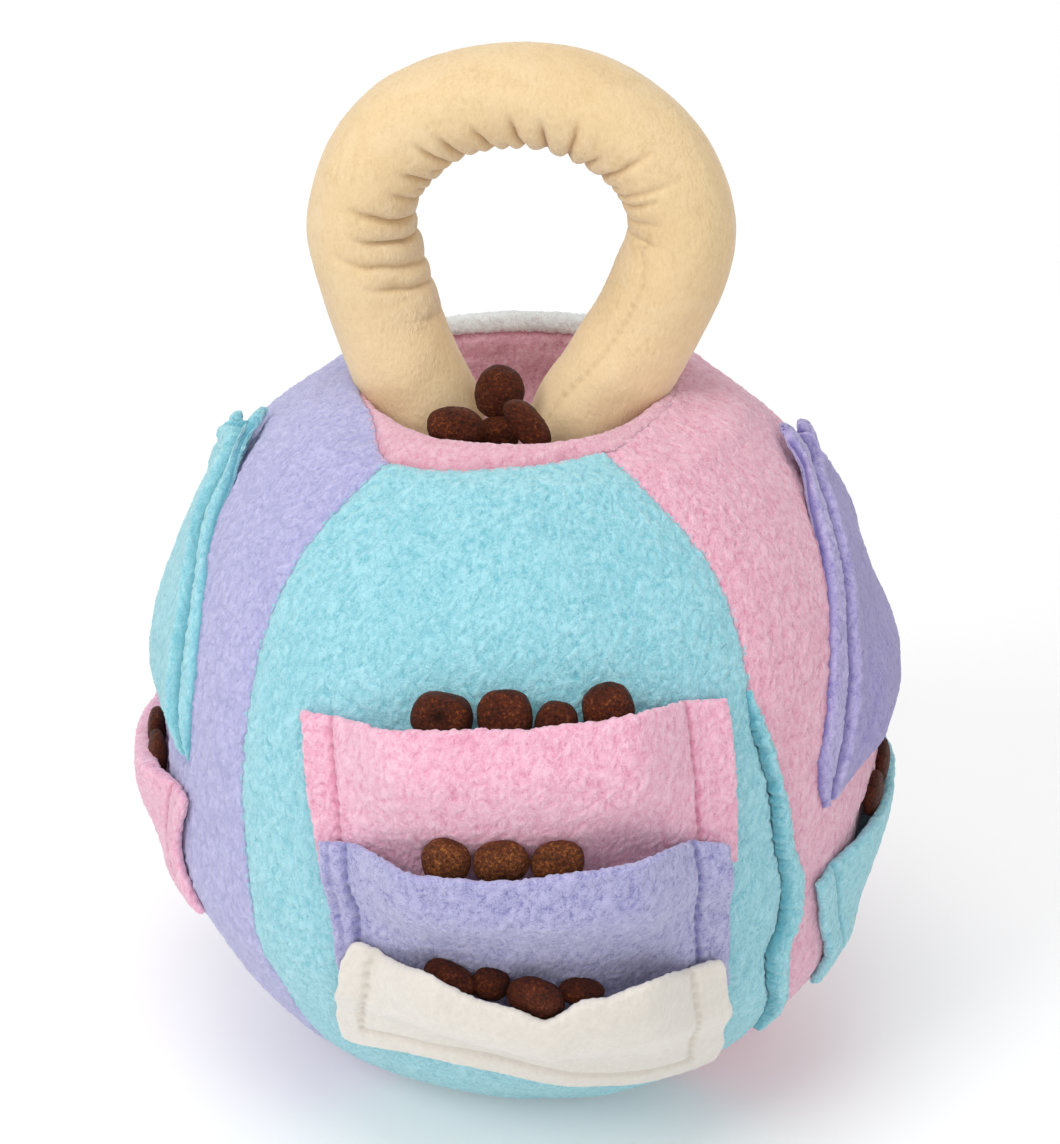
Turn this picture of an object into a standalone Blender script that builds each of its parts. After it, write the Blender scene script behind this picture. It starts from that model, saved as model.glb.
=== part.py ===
"""Fleece puzzle feeder toy for a pet, in metres, +Z up.

A stuffed fleece ball of four gores with a round foot patch, a cup-shaped mouth
on top and a stuffed loop handle whose two legs are sewn into the mouth. Patch
pockets on every side and the mouth itself hold dry kibble. The origin is at the
centre of the flat foot, on the surface that the toy stands on. The front gore
faces -Y and +X is to the right. An azimuth is counted from the front, in
degrees, positive towards +X.
"""

import math

import bmesh
import bpy
from mathutils import Vector

MM = 0.001

# Ball: a turned superellipse, a little flat below and broad towards the mouth
BALL_R = 80.0
EQUATOR_Z = 76.5
UPPER_H, UPPER_N = 87.6, 2.35
LOWER_H, LOWER_N = 79.5, 2.5
FOOT_R = 31.2
FLEECE = 2.3  # thickness of one layer
GAP = 0.35  # clearance between pieces that touch in the real toy
PATCH_GAP = 0.6  # the same under a patch, whose flat facets dip between their corners

# Mouth
BAND_R, BAND_Z = 45.2, 153.9  # where the lining turned outwards meets the gores
CREST_R, CREST_Z = 38.2, 157.9
CUP_R, CUP_FLOOR_Z = 35.4, 138.6

# Handle: a stuffed tube bent into an egg-shaped loop in the plane y = 0
TUBE_R = 11.5
LOOP_HALF_WIDTH = 34.0
LOOP_Z = 193.0
LOOP_RISE = 29.5
LEG_END_Z = 143.0
PIVOT_Z = 150.0

GORE_ANGLE = 89.4


def clear_scene():
    for obj in list(bpy.data.objects):
        bpy.data.objects.remove(obj, do_unlink=True)


clear_scene()
toy = bpy.data.collections.new("fleece_puzzle_feeder_toy")
bpy.context.scene.collection.children.link(toy)


def material(name, colour, roughness=0.95):
    mat = bpy.data.materials.new(name)
    mat.use_nodes = True
    shader = mat.node_tree.nodes["Principled BSDF"]
    shader.inputs["Base Color"].default_value = (*colour, 1.0)
    shader.inputs["Roughness"].default_value = roughness
    shader.inputs["Metallic"].default_value = 0.0
    return mat


AQUA = material("aqua_fleece", (0.36, 0.70, 0.79))
LAVENDER = material("lavender_fleece", (0.52, 0.53, 0.79))
PINK = material("pink_fleece", (0.78, 0.42, 0.51))
WHITE = material("white_fleece", (0.74, 0.71, 0.66))
CREAM = material("cream_velvet", (0.85, 0.66, 0.38))
FILL = material("polyester_filling", (0.85, 0.85, 0.84))
KIBBLE = material("kibble", (0.09, 0.027, 0.015), 0.75)


def add_object(name, mesh, mat):
    obj = bpy.data.objects.new(name, mesh)
    toy.objects.link(obj)
    mesh.materials.clear()
    mesh.materials.append(mat)
    return obj


def smooth(mesh, angle=40.0):
    mesh.shade_smooth()
    mesh.set_sharp_from_angle(angle=math.radians(angle))


# ---------------------------------------------------------------- ball profile


def ball_point(t):
    """(r, z) of the ball at parameter t: 90 degrees is the top, -90 the bottom."""
    a = math.radians(t)
    height, n = (UPPER_H, UPPER_N) if t >= 0 else (LOWER_H, LOWER_N)
    r = BALL_R * math.cos(a) ** (2 / n)
    z = EQUATOR_Z + math.copysign(height * abs(math.sin(a)) ** (2 / n), t)
    return r, z


def ball_t(z):
    """The parameter t of the ball's point at height z."""
    h = z - EQUATOR_Z
    height, n = (UPPER_H, UPPER_N) if h >= 0 else (LOWER_H, LOWER_N)
    return math.copysign(
        math.degrees(math.asin(min(1.0, (abs(h) / height) ** (n / 2)))), h
    )


def ball_normal(z):
    t = ball_t(z)
    (r0, z0), (r1, z1) = ball_point(t - 1.5), ball_point(t + 1.5)
    dr, dz = r1 - r0, z1 - z0
    length = math.hypot(dr, dz)
    return dz / length, -dr / length


def on_ball(azimuth, z, off):
    """The point at this azimuth and height on the ball, moved off it along the normal, in metres."""
    r, z0 = ball_point(ball_t(z))
    nr, nz = ball_normal(z)
    r, z1 = r + nr * off, z0 + nz * off
    a = math.radians(azimuth)
    return Vector((r * math.sin(a), -r * math.cos(a), z1)) * MM


def inset(profile, depth):
    """A profile that runs from the outside top downwards, moved inwards by depth."""
    moved = []
    for i, (r, z) in enumerate(profile):
        a, b = profile[max(i - 1, 0)], profile[min(i + 1, len(profile) - 1)]
        dr, dz = b[0] - a[0], b[1] - a[1]
        length = math.hypot(dr, dz)
        moved.append((r + dz / length * depth, z - dr / length * depth))
    return moved


def profile_mesh(name, profile):
    bm = bmesh.new()
    verts = [bm.verts.new((r * MM, 0, z * MM)) for r, z in profile]
    for a, b in zip(verts, verts[1:]):
        bm.edges.new((a, b))
    mesh = bpy.data.meshes.new(name)
    bm.to_mesh(mesh)
    bm.free()
    return mesh


def turned(name, profile, mat, angle=360.0, start=0.0, steps=32, thickness=0.0):
    """A profile turned about Z. A thickness makes it a shell, grown inwards."""
    obj = add_object(name, profile_mesh(name, profile), mat)
    obj.rotation_euler.z = math.radians(start)
    screw = obj.modifiers.new("turn", "SCREW")
    screw.angle = math.radians(angle)
    screw.steps = screw.render_steps = steps
    screw.use_merge_vertices = True
    screw.merge_threshold = 0.00001
    screw.use_smooth_shade = True
    if thickness:
        shell = obj.modifiers.new("thickness", "SOLIDIFY")
        shell.thickness = thickness * MM
        shell.offset = -1.0
        shell.use_even_offset = True
    return obj


# ----------------------------------------------------------------------- gores

GORE_TOP_T = ball_t(BAND_Z - 1.1)
GORE_LOW_T = -71.6
gore_profile = [
    ball_point(GORE_TOP_T + (GORE_LOW_T - GORE_TOP_T) * i / 13) for i in range(14)
]
for gore, azimuth, mat in (
    ("gore_front_aqua", 0.0, AQUA),
    ("gore_right_pink", 90.0, PINK),
    ("gore_back_white", 180.0, WHITE),
    ("gore_left_lavender", -90.0, LAVENDER),
):
    # azimuth 0 is -Y, which is -90 degrees from +X, and both turn the same way
    turned(
        gore,
        gore_profile,
        mat,
        angle=GORE_ANGLE,
        start=azimuth - 90.0 - GORE_ANGLE / 2,
        steps=9,
        thickness=FLEECE,
    )

foot = [(0.0, FLEECE), (FOOT_R - 1.2, FLEECE), (FOOT_R, 1.0), (FOOT_R - 0.3, 0.0), (0.0, 0.0)]
turned("base_patch", foot, PINK, steps=32)

# ---------------------------------------------------------------- mouth lining

lining_profile = [
    (BAND_R, BAND_Z),
    (42.0, 156.2),
    (CREST_R, CREST_Z),
    (36.2, 156.9),
    (CUP_R, 154.0),
    (34.6, 147.5),
    (32.8, 141.8),
    (28.5, 139.2),
    (20.0, CUP_FLOOR_Z),
    (0.0, CUP_FLOOR_Z),
]
turned("mouth_lining", lining_profile[::-1], PINK, steps=32, thickness=FLEECE)

# --------------------------------------------------------------- body stuffing

under_gores = inset(gore_profile, FLEECE + GAP)
under_lining = [
    (41.6, 152.9),
    (38.6, 154.0),
    (38.0, 152.0),
    (37.3, 147.0),
    (35.2, 139.6),
    (29.4, 136.5),
    (20.0, CUP_FLOOR_Z - FLEECE - GAP),
    (0.0, CUP_FLOOR_Z - FLEECE - GAP),
]
stuffing_profile = (
    list(reversed(under_lining))
    + under_gores[:-1]
    + [(FOOT_R - 1.0, FLEECE + GAP), (0.0, FLEECE + GAP)]
)
turned("body_stuffing", stuffing_profile, FILL, steps=28)

# --------------------------------------------------------------------- handle


def handle_centre_line():
    """Points (x, z) from the left leg's end, over the loop, to the right leg's end."""
    left = [(-18.3, LEG_END_Z), (-19.9, 148.0), (-21.6, 153.0), (-25.2, 162.0), (-28.6, 171.5), (-31.6, 181.5)]
    right = [(30.9, 181.5), (26.6, 171.5), (21.4, 162.0), (16.2, 153.0), (14.1, 148.0), (12.2, LEG_END_Z)]
    loop = []
    for step in range(9):
        a = math.radians(180.0 - 22.5 * step)
        loop.append((LOOP_HALF_WIDTH * math.cos(a), LOOP_Z + LOOP_RISE * math.sin(a)))
    return left + loop + right


def tube_radius(z):
    """Thinner over the top of the loop, and gathered where a leg is sewn down."""
    r = TUBE_R + 0.4 * min(1.0, max(0.0, (LOOP_Z - z) / 30.0))
    r -= 0.5 * max(0.0, (z - LOOP_Z) / LOOP_RISE)
    gather = min(1.0, max(0.0, (LEG_END_Z + 5.0 - z) / 5.0))
    return r - 2.0 * gather * gather


def tube_mesh(name, points, shrink, capped):
    data = bpy.data.curves.new(name + "_line", "CURVE")
    data.dimensions = "3D"
    data.bevel_depth = MM
    data.bevel_resolution = 4
    data.use_fill_caps = capped
    spline = data.splines.new("POLY")
    spline.points.add(len(points) - 1)
    for point, (x, z) in zip(spline.points, points):
        point.co = (x * MM, 0.0, z * MM, 1.0)
        point.radius = tube_radius(z) - shrink
    guide = bpy.data.objects.new(name + "_line", data)
    toy.objects.link(guide)
    bpy.context.view_layer.update()
    graph = bpy.context.evaluated_depsgraph_get()
    mesh = bpy.data.meshes.new_from_object(guide.evaluated_get(graph))
    mesh.name = name
    bpy.data.objects.remove(guide, do_unlink=True)
    bm = bmesh.new()
    bm.from_mesh(mesh)
    bmesh.ops.remove_doubles(bm, verts=bm.verts[:], dist=0.00002)
    bmesh.ops.recalc_face_normals(bm, faces=bm.faces[:])
    # an open tube has no inside, so its faces are turned by the side that faces out over the loop
    topmost = max(bm.faces, key=lambda face: face.calc_center_median().z)
    if topmost.normal.z < 0:
        bmesh.ops.reverse_faces(bm, faces=bm.faces[:])
    # the handle swings on the mouth's rim, so its origin is on that line
    bmesh.ops.translate(bm, verts=bm.verts[:], vec=(0.0, 0.0, -PIVOT_Z * MM))
    bm.to_mesh(mesh)
    bm.free()
    return mesh


swing = bpy.data.objects.new("handle_swing", None)
swing.location = (0.0, 0.0, PIVOT_Z * MM)
toy.objects.link(swing)

line = handle_centre_line()
cover = add_object("handle_cover", tube_mesh("handle_cover", line, 0.0, False), CREAM)
cover.parent = swing
shell = cover.modifiers.new("thickness", "SOLIDIFY")
shell.thickness = 1.5 * MM
shell.offset = -1.0
smooth(cover.data)

core_line = [(x, z) for x, z in line]
for end, near in ((0, 1), (-1, -2)):
    (x, z), (x1, z1) = core_line[end], core_line[near]
    core_line[end] = (x + (x1 - x) * 0.3, z + (z1 - z) * 0.3)
core = add_object(
    "handle_stuffing", tube_mesh("handle_stuffing", core_line, 1.5 + 3 * GAP, True), FILL
)
core.parent = swing
smooth(core.data)

# -------------------------------------------------------------------- pockets


def ease(x):
    x = min(1.0, max(0.0, x))
    return x * x * (3 - 2 * x)


# Across a patch: its cut edge, the seam that sews it down, and the slack cloth between
ACROSS = (0.0, 0.075, 0.14, 0.24, 0.36, 0.5, 0.64, 0.76, 0.86, 0.925, 1.0)
UP = (0.0, 0.3, 0.6, 0.82, 1.0)


def patch(name, mat, place, across=ACROSS, up=UP, thickness=FLEECE):
    """A sewn patch: a grid whose points place(u, v) puts, u along it and v up it, with a cloth's thickness outwards."""
    bm = bmesh.new()
    bmesh.ops.create_grid(
        bm, x_segments=len(across) - 1, y_segments=len(up) - 1, size=0.5
    )
    for vert in bm.verts:
        i = round((vert.co.x + 0.5) * (len(across) - 1))
        j = round((vert.co.y + 0.5) * (len(up) - 1))
        vert.co = place(across[i], up[j])
    mesh = bpy.data.meshes.new(name)
    bm.to_mesh(mesh)
    bm.free()
    obj = add_object(name, mesh, mat)
    shell = obj.modifiers.new("thickness", "SOLIDIFY")
    shell.thickness = thickness * MM
    shell.offset = 1.0
    smooth(mesh)
    return obj


def pouch(top, bottom, slack, lift=0.0, lift_from=0.75, middle=0.5):
    """place(u, v) of a pocket sewn at its sides and bottom and open on top.

    top and bottom are (azimuth left, z left, azimuth right, z right). slack is
    how far the middle of the top edge stands off, lift holds the upper part off
    another patch that lies behind it, and middle is where the slack is largest.
    """

    def place(u, v):
        azimuth_low = bottom[0] + (bottom[2] - bottom[0]) * u
        azimuth_top = top[0] + (top[2] - top[0]) * u
        z_low = bottom[1] + (bottom[3] - bottom[1]) * u
        z_top = top[1] + (top[3] - top[1]) * u
        azimuth = azimuth_low + (azimuth_top - azimuth_low) * v
        z = z_low + (z_top - z_low) * v
        side = u / middle if u < middle else (1 - u) / (1 - middle)
        across = ease((side - 0.14) / 0.42)
        off = PATCH_GAP + lift * ease((v - lift_from) / 0.15)
        off += slack * across * ease((v - 0.2) / 0.68)
        return on_ball(azimuth, z, off)

    return place


patch(
    "pocket_front_top_pink",
    PINK,
    pouch((-30.5, 110.0, 35.5, 111.5), (-27.5, 79.0, 37.0, 79.5), slack=9.6),
)
patch(
    "pocket_front_middle_lavender",
    LAVENDER,
    pouch((-24.5, 84.5, 33.5, 85.0), (-24.5, 50.5, 37.5, 47.0), slack=9.3, lift=3.4, lift_from=0.66),
)
patch(
    "pocket_front_low_white",
    WHITE,
    pouch((-22.5, 59.0, 36.5, 55.5), (-31.0, 25.5, 43.0, 20.0), slack=10.3, lift=3.4, lift_from=0.55),
)


def flap(centre, z_low, z_top, half_low, half_top, slack):
    """place(u, v) of a triangular patch sewn along its two slanting sides, open along the bottom and at its tip."""

    def place(u, v):
        half = half_low + (half_top - half_low) * v
        azimuth = centre + half * (2 * u - 1)
        z = z_low + (z_top - z_low) * v
        side = min(u, 1 - u) * 2
        across = ease((side - 0.12) / 0.6)
        return on_ball(azimuth, z, PATCH_GAP + 0.15 + slack * across * (1.0 - 0.55 * v) * (0.75 + 0.25 * ease(v / 0.3)))

    return place


patch("pocket_left_flap_aqua", AQUA, flap(-90.0, 83.5, 148.0, 34.0, 6.0, 6.2), up=(0.0, 0.14, 0.3, 0.47, 0.65, 0.83, 1.0))
patch("pocket_right_flap_lavender", LAVENDER, flap(90.0, 80.5, 147.0, 34.5, 6.0, 6.2), up=(0.0, 0.14, 0.3, 0.47, 0.65, 0.83, 1.0))
patch(
    "pocket_left_low_pink",
    PINK,
    pouch((-125.0, 73.5, -54.5, 73.5), (-122.0, 38.0, -57.5, 42.0), slack=6.9, middle=0.62),
)
patch(
    "pocket_right_low_aqua",
    AQUA,
    pouch((54.5, 61.5, 125.0, 61.5), (60.0, 27.0, 120.0, 27.0), slack=6.9, middle=0.38),
)
patch(
    "pocket_back_top_lavender",
    LAVENDER,
    pouch((147.5, 111.0, 212.5, 111.0), (146.0, 79.0, 214.0, 79.0), slack=8.0),
)
patch(
    "pocket_back_middle_aqua",
    AQUA,
    pouch((150.5, 84.5, 209.5, 84.5), (149.5, 49.0, 210.5, 49.0), slack=8.0, lift=3.4, lift_from=0.66),
)
patch(
    "pocket_back_low_pink",
    PINK,
    pouch((150.5, 57.5, 209.5, 57.5), (144.0, 23.0, 216.0, 23.0), slack=8.0, lift=3.4, lift_from=0.55),
)


def lap(u, v):
    """The front gore's hem, lapped over the right gore where the ball was stuffed and sewn shut."""
    z = 27.0 + (112.0 - 27.0) * v
    width = 8.0 * math.sin(math.pi * min(1.0, max(0.0, v))) ** 0.35 if 0 < v < 1 else 1.6
    return on_ball(45.9 + width * u, z, PATCH_GAP + 0.9 * math.sin(math.pi * u))


patch("closing_seam_lap", AQUA, lap, across=(0.0, 0.5, 1.0), up=(0.0, 0.06, 0.2, 0.4, 0.6, 0.8, 0.94, 1.0))

# --------------------------------------------------------------------- kibble


def kibble(name, centre, size, tilt=(0.0, 0.0, 0.0)):
    """A baked piece: a rounded, slightly dished disc. size is its half width, half thickness and half height."""
    bm = bmesh.new()
    bmesh.ops.create_icosphere(bm, subdivisions=2, radius=1.0)
    for vert in bm.verts:
        x, y, z = vert.co
        vert.co = Vector((x * size[0], y * size[1], z * size[2])) * MM
    mesh = bpy.data.meshes.new(name)
    bm.to_mesh(mesh)
    bm.free()
    obj = add_object(name, mesh, KIBBLE)
    obj.location = centre
    obj.rotation_euler = [math.radians(a) for a in tilt]
    smooth(mesh, 80.0)
    return obj


def pocket_kibble(name, azimuth, z, off, size, roll=0.0, lean=0.0):
    """Kibble in a patch pocket, its flat side to the ball."""
    nr, nz = ball_normal(z)
    pitch = -math.degrees(math.atan2(nz, nr)) + lean
    kibble(name, on_ball(azimuth, z, off), size, (pitch, roll, azimuth))


for index, (azimuth, z, off, width, roll) in enumerate(
    ((-7.6, 113.6, 4.8, 5.9, 6.0), (1.6, 113.8, 4.8, 5.8, -4.0), (9.8, 112.6, 4.8, 4.9, 3.0), (17.9, 114.6, 4.8, 5.5, 8.0)),
    start=1,
):
    pocket_kibble(f"kibble_front_top_{index}", azimuth, z, off, (width, 3.9, 5.4), roll)

for index, (azimuth, z, off, width, roll) in enumerate(
    ((-6.0, 87.0, 7.9, 5.6, 5.0), (1.8, 87.4, 7.9, 5.7, -3.0), (9.7, 87.4, 7.9, 5.6, -6.0)), start=1
):
    pocket_kibble(f"kibble_front_middle_{index}", azimuth, z, off, (width, 3.6, 4.9), roll)

for index, (azimuth, z, off, width, height, roll) in enumerate(
    ((-7.6, 59.3, 7.9, 5.5, 4.2, 20.0), (-0.3, 58.6, 7.6, 4.8, 4.6, 0.0), (7.6, 56.6, 7.9, 5.9, 5.1, 25.0), (15.6, 57.0, 7.8, 5.2, 4.2, 0.0)), start=1
):
    pocket_kibble(f"kibble_front_low_{index}", azimuth, z, off, (width, 3.5, height), roll)

for index, (azimuth, z) in enumerate(((-75.5, 76.3), (-84.5, 76.0)), start=1):
    pocket_kibble(f"kibble_left_low_{index}", azimuth, z, 2.9, (5.5, 2.3, 4.6))

for index, (azimuth, z) in enumerate(((75.5, 64.4), (84.5, 64.2)), start=1):
    pocket_kibble(f"kibble_right_low_{index}", azimuth, z, 2.9, (5.5, 2.3, 4.6))

# In the mouth: three pieces on the cup's floor carry those that show
for index, (x, y, z, size, tilt) in enumerate(
    (
        (-12.0, -21.4, 155.2, (6.0, 4.2, 4.6), (-30, 0, 0)),
        (-3.8, -9.0, 159.6, (5.4, 4.2, 5.6), (-10, 0, 0)),
        (4.6, -20.4, 155.6, (5.4, 3.8, 4.9), (-20, 30, 10)),
        (-3.6, -15.4, 151.4, (4.6, 3.6, 4.2), (0, 0, 0)),
        (-12.4, -19.0, 144.9, (6.0, 5.2, 4.9), (0, 0, 0)),
        (0.4, -20.4, 144.9, (5.9, 5.2, 4.9), (0, 0, 0)),
        (12.4, -18.6, 144.9, (5.4, 4.8, 4.9), (0, 0, 0)),
    ),
    start=1,
):
    kibble(f"kibble_mouth_{index}", Vector((x, y, z)) * MM, size, tilt)
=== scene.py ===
"""Looks of the fleece puzzle feeder toy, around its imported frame.

Every soft piece is made again here as a fine mesh: the nap of the fleece, the
rolled seams, the stitched creases and the handle's gathers are geometry. The
numbers of the ball, the pockets and the handle are those of the solid model,
in millimetres. An azimuth is counted from the front (-Y), positive to +X.
"""

import math

import bmesh
import bpy
import numpy as np
from mathutils import Matrix, Vector


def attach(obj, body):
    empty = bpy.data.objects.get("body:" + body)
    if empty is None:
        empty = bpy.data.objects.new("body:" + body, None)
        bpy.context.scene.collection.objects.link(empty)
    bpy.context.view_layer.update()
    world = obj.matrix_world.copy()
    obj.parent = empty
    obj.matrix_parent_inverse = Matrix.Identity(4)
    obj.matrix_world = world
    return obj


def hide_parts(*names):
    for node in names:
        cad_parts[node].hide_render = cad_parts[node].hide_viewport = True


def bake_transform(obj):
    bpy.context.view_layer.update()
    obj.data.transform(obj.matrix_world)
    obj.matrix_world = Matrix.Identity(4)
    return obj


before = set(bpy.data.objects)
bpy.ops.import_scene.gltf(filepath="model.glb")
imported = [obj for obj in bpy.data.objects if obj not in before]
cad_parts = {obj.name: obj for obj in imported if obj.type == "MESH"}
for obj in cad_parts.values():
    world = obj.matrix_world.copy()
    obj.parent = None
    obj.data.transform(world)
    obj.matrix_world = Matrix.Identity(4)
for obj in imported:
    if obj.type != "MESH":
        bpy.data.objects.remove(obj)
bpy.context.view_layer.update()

MM = 0.001
COARSE = 1.0

# ------------------------------------------------------------------ noise

_k = np.arange(96) + 0.5
_phi = np.arccos(1 - 2 * _k / 96)
_the = np.pi * (1 + 5**0.5) * _k
GRADS = np.stack([np.cos(_the) * np.sin(_phi), np.sin(_the) * np.sin(_phi), np.cos(_phi)], 1)


def _hash(ix, iy, iz, seed):
    h = (ix * 374761393 + iy * 668265263 + iz * 2246822519 + seed * 3266489917) & 0xFFFFFFFF
    h = ((h ^ (h >> 15)) * 2246822519) & 0xFFFFFFFF
    h = ((h ^ (h >> 13)) * 3266489917) & 0xFFFFFFFF
    return h ^ (h >> 16)


def noise(p, seed=0):
    """Gradient noise at the points p (n, 3), about -1 to 1, with features one unit wide."""
    p = np.asarray(p, float)
    cell = np.floor(p).astype(np.int64)
    f = p - cell
    w = f * f * f * (f * (f * 6 - 15) + 10)
    out = np.zeros(len(p))
    for dx in (0, 1):
        wx = w[:, 0] if dx else 1 - w[:, 0]
        for dy in (0, 1):
            wxy = wx * (w[:, 1] if dy else 1 - w[:, 1])
            for dz in (0, 1):
                g = GRADS[_hash(cell[:, 0] + dx, cell[:, 1] + dy, cell[:, 2] + dz, seed) % 96]
                dot = g[:, 0] * (f[:, 0] - dx) + g[:, 1] * (f[:, 1] - dy) + g[:, 2] * (f[:, 2] - dz)
                out += wxy * (w[:, 2] if dz else 1 - w[:, 2]) * dot
    return out * 1.55


def noise1(x, seed=0):
    x = np.asarray(x, float)
    flat = np.stack([x.ravel(), np.full(x.size, 0.37 + seed), np.full(x.size, 0.71)], 1)
    return noise(flat, seed).reshape(x.shape)


def ease(x):
    x = np.clip(x, 0.0, 1.0)
    return x * x * (3 - 2 * x)


def bump(x, width):
    return np.exp(-((x / width) ** 2))


# ------------------------------------------------------------- ball profile

BALL_R, EQUATOR_Z = 80.0, 76.5
UPPER_H, UPPER_N, LOWER_H, LOWER_N = 87.6, 2.35, 79.5, 2.5


def ball_point(t):
    a = np.radians(t)
    up = np.asarray(t) >= 0
    n = np.where(up, UPPER_N, LOWER_N)
    height = np.where(up, UPPER_H, LOWER_H)
    r = BALL_R * np.cos(a) ** (2 / n)
    z = EQUATOR_Z + np.sign(a) * height * np.abs(np.sin(a)) ** (2 / n)
    return r, z


def ball_t(z):
    h = np.asarray(z, float) - EQUATOR_Z
    up = h >= 0
    n = np.where(up, UPPER_N, LOWER_N)
    height = np.where(up, UPPER_H, LOWER_H)
    return np.sign(h) * np.degrees(np.arcsin(np.minimum(1.0, (np.abs(h) / height) ** (n / 2))))


def ball_normal(z):
    t = ball_t(z)
    (r0, z0), (r1, z1) = ball_point(t - 1.5), ball_point(t + 1.5)
    dr, dz = r1 - r0, z1 - z0
    length = np.hypot(dr, dz)
    return dz / length, -dr / length


def on_ball(azimuth, z, off):
    """Points at these azimuths and heights on the ball, moved off it along its normal."""
    r, z0 = ball_point(ball_t(z))
    nr, nz = ball_normal(z)
    r, z1 = r + nr * off, z0 + nz * off
    a = np.radians(azimuth)
    return np.stack(np.broadcast_arrays(r * np.sin(a), -r * np.cos(a), z1), -1)


# The outside of the ball, over the rim and down into the mouth, by arc length
def full_profile():
    r, z = ball_point(np.linspace(-71.6, float(ball_t(150.5)), 260))
    line = [(a, b) for a, b in zip(r, z)]
    over = [(46.9, 153.3), (44.6, 154.8), (42.2, 156.3), (40.2, 157.4), (38.2, 157.95), (36.6, 157.3), (35.7, 155.4), (35.2, 152.0),
            (34.8, 148.0), (34.1, 144.4), (32.6, 141.8), (29.6, 140.0), (24.0, 139.2), (15.0, 138.9), (7.0, 138.8), (0.4, 138.8)]
    pts = np.array(line + over)
    ext = np.vstack([2 * pts[0] - pts[1], pts, 2 * pts[-1] - pts[-2]])
    fine = []
    for i in range(1, len(ext) - 2):
        p0, p1, p2, p3 = ext[i - 1 : i + 3]
        for t in np.arange(6) / 6:
            fine.append(0.5 * (2 * p1 + (p2 - p0) * t + (2 * p0 - 5 * p1 + 4 * p2 - p3) * t * t + (3 * p1 - p0 - 3 * p2 + p3) * t**3))
    fine.append(pts[-1])
    fine = np.array(fine)
    q = np.r_[0, np.cumsum(np.linalg.norm(np.diff(fine, axis=0), axis=1))]
    d = np.gradient(fine, q, axis=0)
    length = np.linalg.norm(d, axis=1)
    return q, fine[:, 0], fine[:, 1], d[:, 1] / length, -d[:, 0] / length


PQ, PR, PZ, PNR, PNZ = full_profile()
Q_CREST = float(PQ[np.argmax(PZ)])
Q_END = float(PQ[-1])


def q_of_z(z):
    """Arc length of a height on the outside."""
    outside = PQ <= Q_CREST
    return np.interp(z, PZ[outside], PQ[outside])


def smooth_table(x, pairs):
    """A smooth curve through (x, value) pairs."""
    x0, value = np.array(sorted(pairs), float).T
    slope = np.gradient(value, x0)
    x = np.clip(x, x0[0], x0[-1])
    k = np.clip(np.searchsorted(x0, x) - 1, 0, len(x0) - 2)
    w = x0[k + 1] - x0[k]
    t = (x - x0[k]) / w
    return (2 * t**3 - 3 * t**2 + 1) * value[k] + (t**3 - 2 * t**2 + t) * slope[k] * w + (3 * t**2 - 2 * t**3) * value[k + 1] + (t**3 - t**2) * slope[k + 1] * w


def drawn_in(azimuth):
    """How far the padded rim leans in on the handle's legs."""
    a = (azimuth + 180.0) % 360.0 - 180.0
    return smooth_table(a, ((-180, 0), (-128, 0), (-108, 0.8), (-90, 2.2), (-72, 2.8), (-52, 3.0), (-35, 2.3), (-22, 2.3), (-9, 3.2), (2, 3.9), (14, 3.9), (28, 4.2), (44, 5.2), (66, 6.0), (88, 5.0), (108, 2.2), (130, 0), (180, 0)))


def skin(azimuth, q, off):
    """Points and normals at these azimuths and arc lengths, moved off the cloth."""
    azimuth, q, off = np.broadcast_arrays(azimuth, q, off)
    r, z, nr, nz = (np.interp(q, PQ, x) for x in (PR, PZ, PNR, PNZ))
    r = r - drawn_in(azimuth) * ease((q - Q_CREST + 12.0) / 9.0) * (1 - ease((q - Q_CREST - 11.0) / 9.0))
    a = np.radians(azimuth)
    n = np.stack([nr * np.sin(a), -nr * np.cos(a), nz], -1)
    p = np.stack([r * np.sin(a), -r * np.cos(a), z], -1)
    return p + n * off[..., None], n


# --------------------------------------------------------------- mesh tools


def grid_faces(rows, cols, closed=False, start=0):
    i = np.arange(rows - 1)[:, None]
    j = np.arange(cols if closed else cols - 1)[None, :]
    k = (j + 1) % cols
    return (start + np.stack(np.broadcast_arrays(i * cols + j, i * cols + k, (i + 1) * cols + k, (i + 1) * cols + j), -1)).reshape(-1, 4)


def normals_of(verts, faces):
    total = np.zeros_like(verts)
    for f in faces:
        if len(f) == 0:
            continue
        a, b = (verts[f[:, 2]] - verts[f[:, 0]], verts[f[:, 3]] - verts[f[:, 1]]) if f.shape[1] == 4 else (verts[f[:, 1]] - verts[f[:, 0]], verts[f[:, 2]] - verts[f[:, 0]])
        n = np.cross(a, b)
        for c in range(f.shape[1]):
            for x in range(3):
                total[:, x] += np.bincount(f[:, c], n[:, x], len(verts))
    length = np.linalg.norm(total, axis=1, keepdims=True)
    return total / np.maximum(length, 1e-12)


def area_of(verts, faces):
    s = 0.0
    for f in faces:
        s += np.linalg.norm(np.cross(verts[f[:, 1]] - verts[f[:, 0]], verts[f[:, 2]] - verts[f[:, 0]]), axis=1).sum() / 2
        if f.shape[1] == 4:
            s += np.linalg.norm(np.cross(verts[f[:, 2]] - verts[f[:, 0]], verts[f[:, 3]] - verts[f[:, 0]]), axis=1).sum() / 2
    return s


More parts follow.
